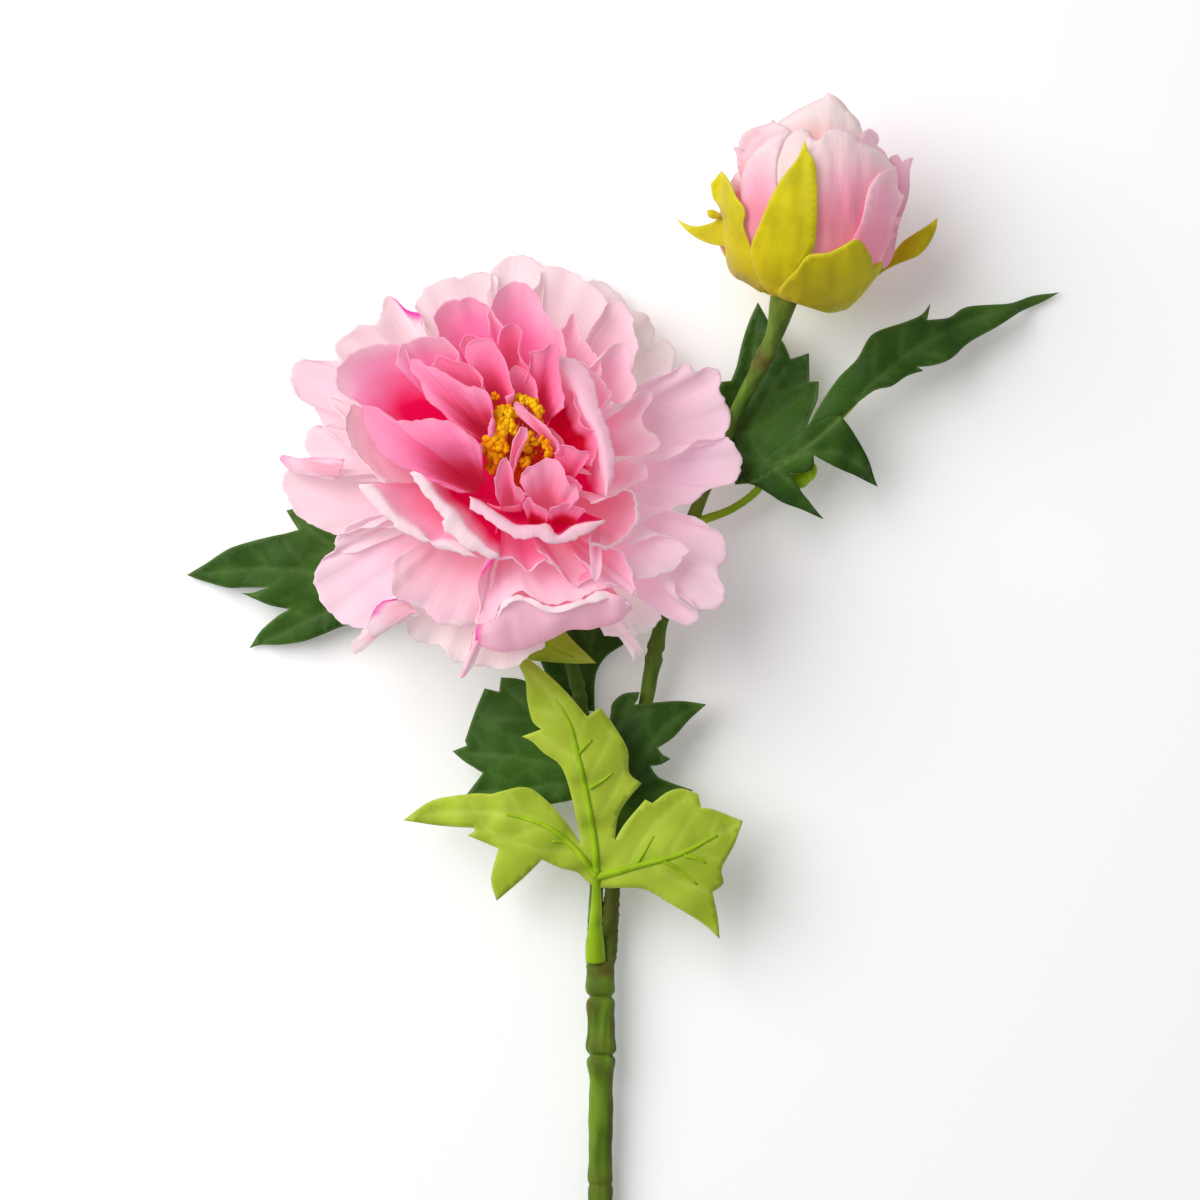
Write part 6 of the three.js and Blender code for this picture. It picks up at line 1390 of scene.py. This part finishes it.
# joints and rings are (y, force). Spans are where along y something begins and ends.
stem = dict(
    endY=-338.0, rimY=-100.5, level=3.14, rimZ=8.0, riseSpan=(-235.0, -100.5), radius=3.3, sides=40, middleX=0.2,
    steps=150, least=0.04, joints=[(-205, 0.55), (-163, 0.35), (-126.7, 1.0), (-110.4, 1.0)],
    collar=dict(height=0.45, start=(-136, -126), end=(-101, -99)),
    ring=dict(reach=5, steps=41, rise=(0.38, 2.4, 2.2), dent=(0.75, 0.75), brown=(0.5, 5.0)),
    rimBrown=(-102.5, 3.2), sway=(0.12, 0.11), shadeSideSpan=(0.4, 0.95),
    lines=dict(height=0.16, start=(-132, -124), end=(-116, -112), count=9, slant=0.2),
    uneven=dict(sizes=(0.10, 0.07, 0.05), along=(0.31, 0.83, 0.12), around=(2, 3, 2)),
)
stemWire = dict(radius=1.2, blunt=0.8, stations=(6, 2, -2.25, -2.5), sides=20, rings=12)


def span(value, shape):
    return smoothStep(value, *shape["start"]) * (1 - smoothStep(value, *shape["end"]))


def makeMainStem():
    ring = stem["ring"]
    y = np.unique(np.concatenate([
        np.linspace(stem["endY"], stem["rimY"], stem["steps"]),
        *[np.linspace(at - ring["reach"], at + ring["reach"], ring["steps"]) for at, _ in stem["joints"]]]))[:, None]
    turn = np.arange(stem["sides"]) / stem["sides"] * 2 * math.pi
    chance = random.Random(7)
    phase = [chance.uniform(0, 6.3) for _ in range(6)]

    radius = stem["radius"] + stem["collar"]["height"] * span(y, stem["collar"])
    height, apart, wide = ring["rise"]
    depth, narrow = ring["dent"]
    below, brownWide = ring["brown"]
    joint = np.zeros_like(y)
    for at, force in stem["joints"]:
        away = np.abs(y - at)
        radius = radius + force * height * bell(away - apart, wide) - force * depth * bell(away, narrow)
        joint = np.maximum(joint, force * bell(y - at + below, brownWide))
    rimAt, rimWide = stem["rimBrown"]
    joint = np.maximum(joint, bell(y - rimAt, rimWide))

    # The dipped coat is never quite round, and has fine lines where it was gripped under the fork.
    lines = stem["lines"]
    uneven = stem["uneven"]
    around = uneven["around"]
    bends = (
        phase[0] + around[0] * np.sin(turn), phase[1] + around[1] * np.cos(turn + phase[2]),
        phase[3] + around[2] * turn)
    for size, often, bend in zip(uneven["sizes"], uneven["along"], bends):
        radius = radius + size * np.sin(often * y + bend)
    radius = radius + lines["height"] * span(y, lines) * np.sin(lines["count"] * turn + lines["slant"] * y)
    sway, slow = stem["sway"]
    x = stem["middleX"] + sway * np.sin(slow * y + phase[4]) + radius * np.cos(turn)
    rise = smoothStep(y, *stem["riseSpan"])
    z = (1 - rise) * stem["level"] + rise * stem["rimZ"] + radius * np.sin(turn)
    rings = np.stack([x, np.broadcast_to(y, x.shape), np.maximum(z, stem["least"])], axis=-1)
    # Painted shade: the right side, away from the light, is marked for brown patches.
    side = np.broadcast_to(smoothStep(np.cos(turn), *stem["shadeSideSpan"]), x.shape)
    start = (stem["middleX"], stem["endY"], stem["level"])
    end = (stem["middleX"], stem["rimY"], stem["rimZ"])
    body = ringsPart(rings[:, ::-1], start, end, joint=joint, rightSide=side[:, ::-1])
    makePiece("mainStem", [body], "stemPlastic", "main_stem")


def makeStemWire():
    radii = [stemWire["radius"]] * 3 + [stemWire["radius"] * stemWire["blunt"]]
    stations = [
        (stem["middleX"], stem["endY"] + y, stem["level"], radius) for y, radius in zip(stemWire["stations"], radii)]
    rod = rodPart(stations, stemWire["sides"], stemWire["rings"])
    makePiece("stemWire", [rod], "wireSteel", "stem_wire")


# Knots are shares of the length. The dipped coat is torn and lumpy up to torn, where a stalk leaves the stem.
stalks = dict(
    bloomStalk=dict(node="bloom_stalk", knots=[0.3, 0.55], torn=14,
        path=[(-1.6, -103, 7.6, 1.9), (-1.5, -99, 7, 2), (-1, -72.5, 7, 2), (-2, -50, 7.5, 1.9), (-5, -30.6, 7.5, 1.9),
        (-7.8, -18.1, 7, 1.9), (-12.3, -5.5, 5.6, 1.9), (-17, 4, 3.6, 1.9), (-21, 13, 2.3, 1.9), (-23.5, 21, 4.8, 2),
        (-24.1, 25.4, 10.6, 2.3), (-24.1, 27.5, 16.4, 2.6)]),
    budStalk=dict(node="bud_stalk", knots=[0.36, 0.455, 0.72, 0.9], torn=26,
        path=[(1.7, -103, 7.8, 1.9), (2.3, -99, 7.4, 2.2), (4.2, -72.3, 7.5, 2.1), (8.9, -50.1, 8, 2),
        (12.8, -28.3, 9, 2), (15, -16.1, 10, 2.2), (17.2, -5.5, 11, 2), (22.2, 11.1, 12.5, 1.9), (27.2, 26.3, 14, 1.9),
        (37.3, 51.2, 18, 1.9), (42.6, 61.6, 22, 2.1), (47.4, 71.4, 25.2, 2.5), (49.3, 77.5, 26, 3),
        (50.3, 81.5, 26.6, 3.6), (51, 84.4, 27, 4.3)]),
)
# Waves of the coat are (size, number round, turns along).
stalkCoat = dict(
    sides=22, step=0.9, tornFade=4, torn=0.30, tornBrown=0.9, ring=(0.32, 1.8, 1.6), dent=(0.42, 0.7),
    brownWide=3.5, sideBrown=0.25, waves=[(0.08, 0, 0.5), (0.07, 2, 0.35), (0.05, 5, -0.8)],
    lump=(1.0, 3, 1.3), lumpSwell=(0.9, 1), ridge=(0.6, 5, -2.1))


def coatWave(turn, run, size, around, along):
    return size * np.sin(around * turn + along * run)


def makeStalk(name, stalk):
    length = pathSteps([station[:3] for station in stalk["path"]]).sum()
    places = [share * length for share in stalk["knots"]]
    height, apart, wide = stalkCoat["ring"]
    depth, narrow = stalkCoat["dent"]

    def tornShare(run):
        return 1 - smoothStep(run, stalk["torn"] - stalkCoat["tornFade"], stalk["torn"] + stalkCoat["tornFade"])

    def swelling(turn, run):
        rough = sum(coatWave(turn, run, *shape) for shape in stalkCoat["waves"])
        often, shift = stalkCoat["lumpSwell"]
        lumps = coatWave(turn, run, *stalkCoat["lump"]) * math.sin(often * run + shift)
        rough = rough + stalkCoat["torn"] * tornShare(run) * (lumps + coatWave(turn, run, *stalkCoat["ridge"]))
        for place in places:
            away = abs(run - place)
            rough = rough + height * bell(away - apart, wide) - depth * bell(away, narrow)
        return rough

    count = int(length / stalkCoat["step"])
    run = np.linspace(0, length, count)
    joint = stalkCoat["tornBrown"] * tornShare(run)
    for place in places:
        joint = np.maximum(joint, bell(run - place, stalkCoat["brownWide"]))
    part = rodPart(
        stalk["path"], stalkCoat["sides"], count, swelling, joint=joint, rightSide=stalkCoat["sideBrown"])
    makePiece(name, [part], "stalkPlastic", stalk["node"])


makeMainStem()
makeStemWire()
for stalkName, stalkShape in stalks.items():
    makeStalk(stalkName, stalkShape)


# The bud. Outlines are plan distances from its foot. lift is how far a piece stands off the round of the bud.
bud = dict(
    at=(50.4, 82.7, 26.5), lean=12.2, rise=6.0, shift=2.6, spacing=1.3, thick=0.35, petalFlare=0.3,
    sepalFlare=0.45, sepalCreases=0.8, turnedFlare=0.2, bend=1.4, trough=0.035)
budRound = dict(
    along=[-4, 0, 4, 9, 15, 22, 30, 38, 45, 51, 56, 60],
    radius=[6, 10.5, 16, 20, 23, 24.6, 24.8, 22.6, 18, 12.5, 7, 3])
budPetals = dict(
    topWhite=dict(lift=-2.4, blush=0.1, depth=0.5, frost=0.6,
        edge=[(-2, 47.5), (0.5, 49.5), (5, 52), (10.5, 54.5), (12, 56, 1), (15.5, 53.5), (18, 50), (20, 48),
        (21, 44.5), (21.5, 40), (19.5, 34), (12.5, 32), (4, 34), (-1, 39), (-2.5, 44)]),
    leftTop=dict(lift=-1.6, blush=0.5, cool=0.1, depth=0.3, frost=0.5, pinkAt=(-3, 41, 9),
        edge=[(-12.5, 41.5), (-11.5, 44.5), (-10, 46), (-6, 47.5), (-3.5, 48), (-3, 49, 1), (-2, 47.5), (0.5, 45.5),
        (1, 40), (-4, 32), (-10, 30), (-11.5, 35)]),
    leftSpike=dict(lift=-2.2, blush=0.4, cool=0.2, depth=0.3, frost=0.4,
        edge=[(-14, 41.5, 1), (-12.5, 41.5), (-10.5, 40.5), (-7, 39), (-8, 32), (-11.5, 32), (-12.5, 36),
        (-13, 39.5)]),
    leftSide=dict(lift=-2.4, blush=0.5, cool=0.1, depth=0.8, frost=0.2,
        edge=[(-14.5, 30.5), (-14, 33), (-12, 35), (-8.5, 34), (-8.5, 24.5), (-11.5, 24.5), (-13, 27)]),
    leftMain=dict(lift=-0.4, blush=0.62, cool=0.1, depth=0.55, frost=0.75, pinkAt=(-7, 26, 15),
        edge=[(-12, 29), (-11.5, 33), (-10, 37), (-7, 40.5), (-3.5, 43.2), (0, 44.8), (1.5, 44.6, 1), (-0.5, 42),
        (-2, 38.5), (-2.8, 34), (-2.5, 28), (0, 18), (-6, 9.5), (-10, 12), (-11, 16.5), (-11.5, 22.5)]),
    middleWhite=dict(lift=-0.9, blush=0.12, depth=0.3, frost=0.5,
        edge=[(-2.5, 36.5), (-1.5, 39), (0, 42.5), (2.5, 44.5), (5, 45), (6.5, 43.5), (7.5, 36), (7.5, 20.5),
        (0, 15.5), (-4, 22.5), (-3, 30)]),
    rightBack=dict(lift=-2, blush=0.5, cool=0.35, depth=0.2, frost=0.2,
        edge=[(20.5, 43.5), (21.5, 45), (23, 46), (25, 45.5), (26, 43.5), (25, 41, 1), (27, 40), (28.5, 38, 1),
        (29.5, 39), (31, 39.5), (32.5, 37.5, 1), (34, 38.5), (35.5, 38.5, 1), (34.5, 35), (34.5, 30), (33.5, 25.5),
        (31.5, 20), (30, 11.5), (26.5, 8.5), (21.5, 15.5), (17.5, 30)]),
    rightMain=dict(lift=0.2, blush=0.72, cool=0.05, depth=0.6, frost=0.8, pinkAt=(18, 23, 14),
        edge=[(6, 39), (6, 42.5), (8, 41.5), (9.5, 42), (10, 43.5), (11, 44.5), (14, 45), (17.5, 44), (21, 41),
        (25, 39.5), (27.5, 37.5), (29.5, 34), (28.5, 25.5), (25.5, 15.5), (21.5, 10), (12.5, 7.5), (5, 7.5), (5, 15.5),
        (6.5, 28)]),
    rightFront=dict(lift=0.9, blush=0.68, cool=0.15, depth=0.3, frost=0.4,
        edge=[(30, 35.5, 1), (30.5, 32), (30.5, 29), (32.5, 27.5, 1), (31, 24), (29, 20), (28, 15.5), (26.5, 11.5),
        (23, 6.5), (18.5, 8.5), (17.5, 13.5), (20.5, 20), (22, 27.5), (24.5, 32), (28, 34.5)]),
)
budSepals = dict(
    left=dict(lift=1.4,
        edge=[(-17, 35, 1), (-15, 31), (-13.5, 27), (-11.5, 24), (-11, 21.5), (-11.5, 19), (-9.5, 13), (-8, 8),
        (-5.5, 1.5), (-10, 4), (-14.5, 7.5), (-16, 13), (-16.5, 19), (-17, 22.5), (-18, 25.5), (-19.5, 28),
        (-20, 31.5, 1)]),
    centre=dict(lift=2.2,
        edge=[(5, 41.5, 1), (6, 38), (7.5, 35), (8, 29.5), (8, 17), (7, 11.5), (3, 6), (0.5, 0.5), (-4, 1), (-7, 4.5),
        (-9.5, 12), (-7, 19.5), (-4, 26.5), (-1, 31.5), (2.5, 36), (4, 39)]),
    rightBehind=dict(lift=1.4,
        edge=[(18, 11), (22.5, 8), (26.5, 9.5), (26, 7), (23, 3), (20, -0.5), (16, -3), (13, 1)]),
    rightLow=dict(lift=2.8,
        edge=[(-2, 1), (3, 7), (6, 10.5), (11, 11), (14.5, 12.5), (18, 14.5), (20, 14.5), (22.5, 11.5), (23.5, 9.5),
        (23, 6), (21.5, 3), (19, -1), (16, -3), (12, -4), (7.5, -3), (2.5, -1.5)]),
)
# The sepals that turn away from the bud. heights are at their foot and tip.
budTurnedSepals = dict(
    farLeft=dict(foot=(-14, 18), heights=(27, 17),
        edge=[(-29.5, 23.5, 1), (-28, 22), (-25, 20.5), (-22, 20.5), (-19, 21.5), (-16.5, 23), (-13.5, 20), (-14, 14),
        (-16.5, 14.5), (-20.5, 15.5), (-24.5, 17.5), (-27.5, 20.5)]),
    tiny=dict(foot=(-17, 23), heights=(27, 28),
        edge=[(-21, 24.5, 1), (-19, 24.5), (-17, 23), (-18, 22), (-20.5, 22.5)]),
    farRight=dict(foot=(26, 8.5), heights=(24, 25),
        edge=[(42.5, 22.5, 1), (42, 19), (40, 15), (37, 12), (32, 10), (28, 8), (22, 3.5), (17, 2), (17, 7), (24.5, 9),
        (29.5, 12), (33, 16), (37.5, 19), (40.5, 21)]),
)
# The far side of the bud, round its axis: 90 faces up from the table, 0 is its left and 180 its right.
budUnder = dict(
    petal=dict(root=(4, 2), knee=(33, 5), ruffle=0.7, blush=0.5, cool=0.3, depth=0.5),
    petals=[
        dict(az=-80, tip=(6, 54), wide=15), dict(az=25, knee=(27, 8), tip=(8, 45), wide=10),
        dict(az=165, tip=(9, 46), wide=12), dict(az=-30, knee=(25, 7), tip=(17, 36), wide=12),
        dict(az=-58, tip=(19, 42), wide=16), dict(az=200, tip=(21, 40), wide=15), dict(az=242, tip=(19, 42), wide=16)],
    sepal=dict(root=(4, 0.4), ruffle=0.4, waves=1.2),
    sepals=[
        dict(az=-34, knee=(21, 4), tip=(23, 20), wide=9, shoulder=0.6),
        dict(az=-74, knee=(30, 2), tip=(27, 24), wide=10, shoulder=0.5),
        dict(az=240, knee=(30, 2), tip=(27, 22), wide=10, shoulder=0.5),
        dict(az=208, knee=(21, 4), tip=(23, 16), wide=9, shoulder=0.6)],
)
budHub = dict(sides=24, outline=[(5.2, 1.8), (6.6, 4.4), (3, 9)], look=dict(along=0.2, blush=0.6, depth=0.8))
budCup = dict(sides=28, outline=[(3.0, -0.6), (3.6, 0.2), (6.4, 2.6), (3, 3.4)], look=dict(vein=0.0, edge=1.0))
budLean, budRise = math.radians(bud["lean"]), math.radians(bud["rise"])
inBud = flowerPlacer(
    bud["at"], (math.sin(budLean) * math.cos(budRise), math.cos(budLean) * math.cos(budRise), math.sin(budRise)),
    (0, 0, 1))
# Creases are (size, waves along x, slant, waves along y).
budCloth = dict(
    creases=(0.28, 0.9, 0.06), crossed=(0.2, 1.7, 0.35), edgeReach=1.6, rimReach=1.5, rimFrom=0.45, rimShare=0.3,
    leastPink=0.25, lineSpan=24.0, toneSpan=6, veinWide=0.9, veinShare=0.5, edgeUnit=1.5)


def budHeight(spots, lift):
    x, y = spots[:, 0], spots[:, 1]
    along = x * math.sin(budLean) + y * math.cos(budLean)
    across = x * math.cos(budLean) - y * math.sin(budLean) - bud["shift"]
    radius = np.interp(along, budRound["along"], budRound["radius"]) + lift
    return bud["at"][2] + math.tan(budRise) * along + np.sqrt(np.maximum(radius**2 - across**2, 0.0))


# A petal or sepal cut to its outline and laid over the round of the bud, with its edges let off a little.
def budSheet(piece, seed, heightAt, flare, creases=1.0):
    low, high = (pick(point[1] for point in piece["edge"]) for pick in (min, max))
    border = closedPath(outlineCurve(piece["edge"], bud["spacing"]))
    chance = random.Random(seed)
    phase = [chance.uniform(0, 6.3) for _ in range(4)]

    def height(spots):
        x, y = spots[:, 0], spots[:, 1]
        size, often, slant = budCloth["creases"]
        crossSize, crossOften, crossAlong = budCloth["crossed"]
        folds = size * np.sin(x * often + phase[0] + slant * y) + crossSize * np.sin(
            x * crossOften + phase[1]) * np.sin(y * crossAlong + phase[2])
        return heightAt(spots) + flare * np.exp(-distanceTo(spots, *border) / budCloth["edgeReach"]) + creases * folds

    def marks(spots):
        x, y = spots[:, 0], spots[:, 1]
        off = distanceTo(spots, *border)
        along = np.clip((y - low) / (high - low), 0, 1)
        rimward = budCloth["rimShare"] * np.exp(-off / budCloth["rimReach"]) * (along > budCloth["rimFrom"])
        # Some petals are pinkest round one place and pale away from it.
        pinkX, pinkY, pinkReach = piece.get("pinkAt", (0, 0, 1e4))
        least = budCloth["leastPink"]
        pinkness = least + (1 - least) * bell(np.hypot(x - pinkX, y - pinkY), pinkReach)
        centre = np.interp(y, [low, high], [piece["edge"][-1][0], piece["edge"][0][0]])
        even = {key: np.full(len(spots), piece.get(key, 0.0)) for key in ("cool", "depth", "frost", "stain")}
        return dict(
            along=np.clip(along + rimward, 0, 1), across=x / budCloth["lineSpan"],
            tone=np.full(len(spots), phase[3] * budCloth["toneSpan"]), blush=piece.get("blush", 0.0) * pinkness,
            vein=bell(x - centre, budCloth["veinWide"]) * budCloth["veinShare"], edge=off / budCloth["edgeUnit"],
            **even)

    part = cutPart(piece["edge"], bud["spacing"], bud["thick"], height, (), marks)
    part["points"] = part["points"] + np.array([bud["at"][0], bud["at"][1], 0.0])
    return part


def laidOver(pieces, firstSeed, flare, creases=1.0):
    return [
        budSheet(piece, firstSeed + k, lambda spots, lift=piece["lift"]: budHeight(spots, lift), flare, creases)
        for k, piece in enumerate(pieces.values())]


# Height of a sepal that turns away from the bud, with its sides a little raised.
def turnedSlope(piece):
    foot, tip = np.array(piece["foot"]), np.array(piece["edge"][0][:2])
    reach = np.linalg.norm(tip - foot)
    footHeight, tipHeight = piece["heights"]

    def slope(spots):
        share = np.clip(((spots - foot) @ (tip - foot)) / reach**2, 0, 1)
        aside = (spots - foot) @ np.array([-(tip - foot)[1], (tip - foot)[0]]) / reach
        return footHeight + (tipHeight - footHeight) * share ** bud["bend"] + bud["trough"] * aside**2

    return slope


def makeBud():
    petals = laidOver(budPetals, 200, bud["petalFlare"])
    petals += [plainPetal({**budUnder["petal"], **petal}, inBud, 121 + k) for k, petal in enumerate(budUnder["petals"])]
    petals.append(turnedPart(budHub["outline"], budHub["sides"], inBud, **budHub["look"]))
    makePiece("budPetals", petals, "budCloth", "bud_petals")

    sepals = laidOver(budSepals, 230, bud["sepalFlare"], bud["sepalCreases"])
    sepals += [
        budSheet(piece, 250 + k, turnedSlope(piece), bud["turnedFlare"])
        for k, piece in enumerate(budTurnedSepals.values())]
    sepals += [plainPetal({**budUnder["sepal"], **sepal}, inBud, 151 + k) for k, sepal in enumerate(budUnder["sepals"])]
    sepals.append(turnedPart(budCup["outline"], budCup["sides"], inBud, **budCup["look"]))
    makePiece("budSepals", sepals, "sepalCloth", "bud_sepals")


makeBud()


print("whole spray made")
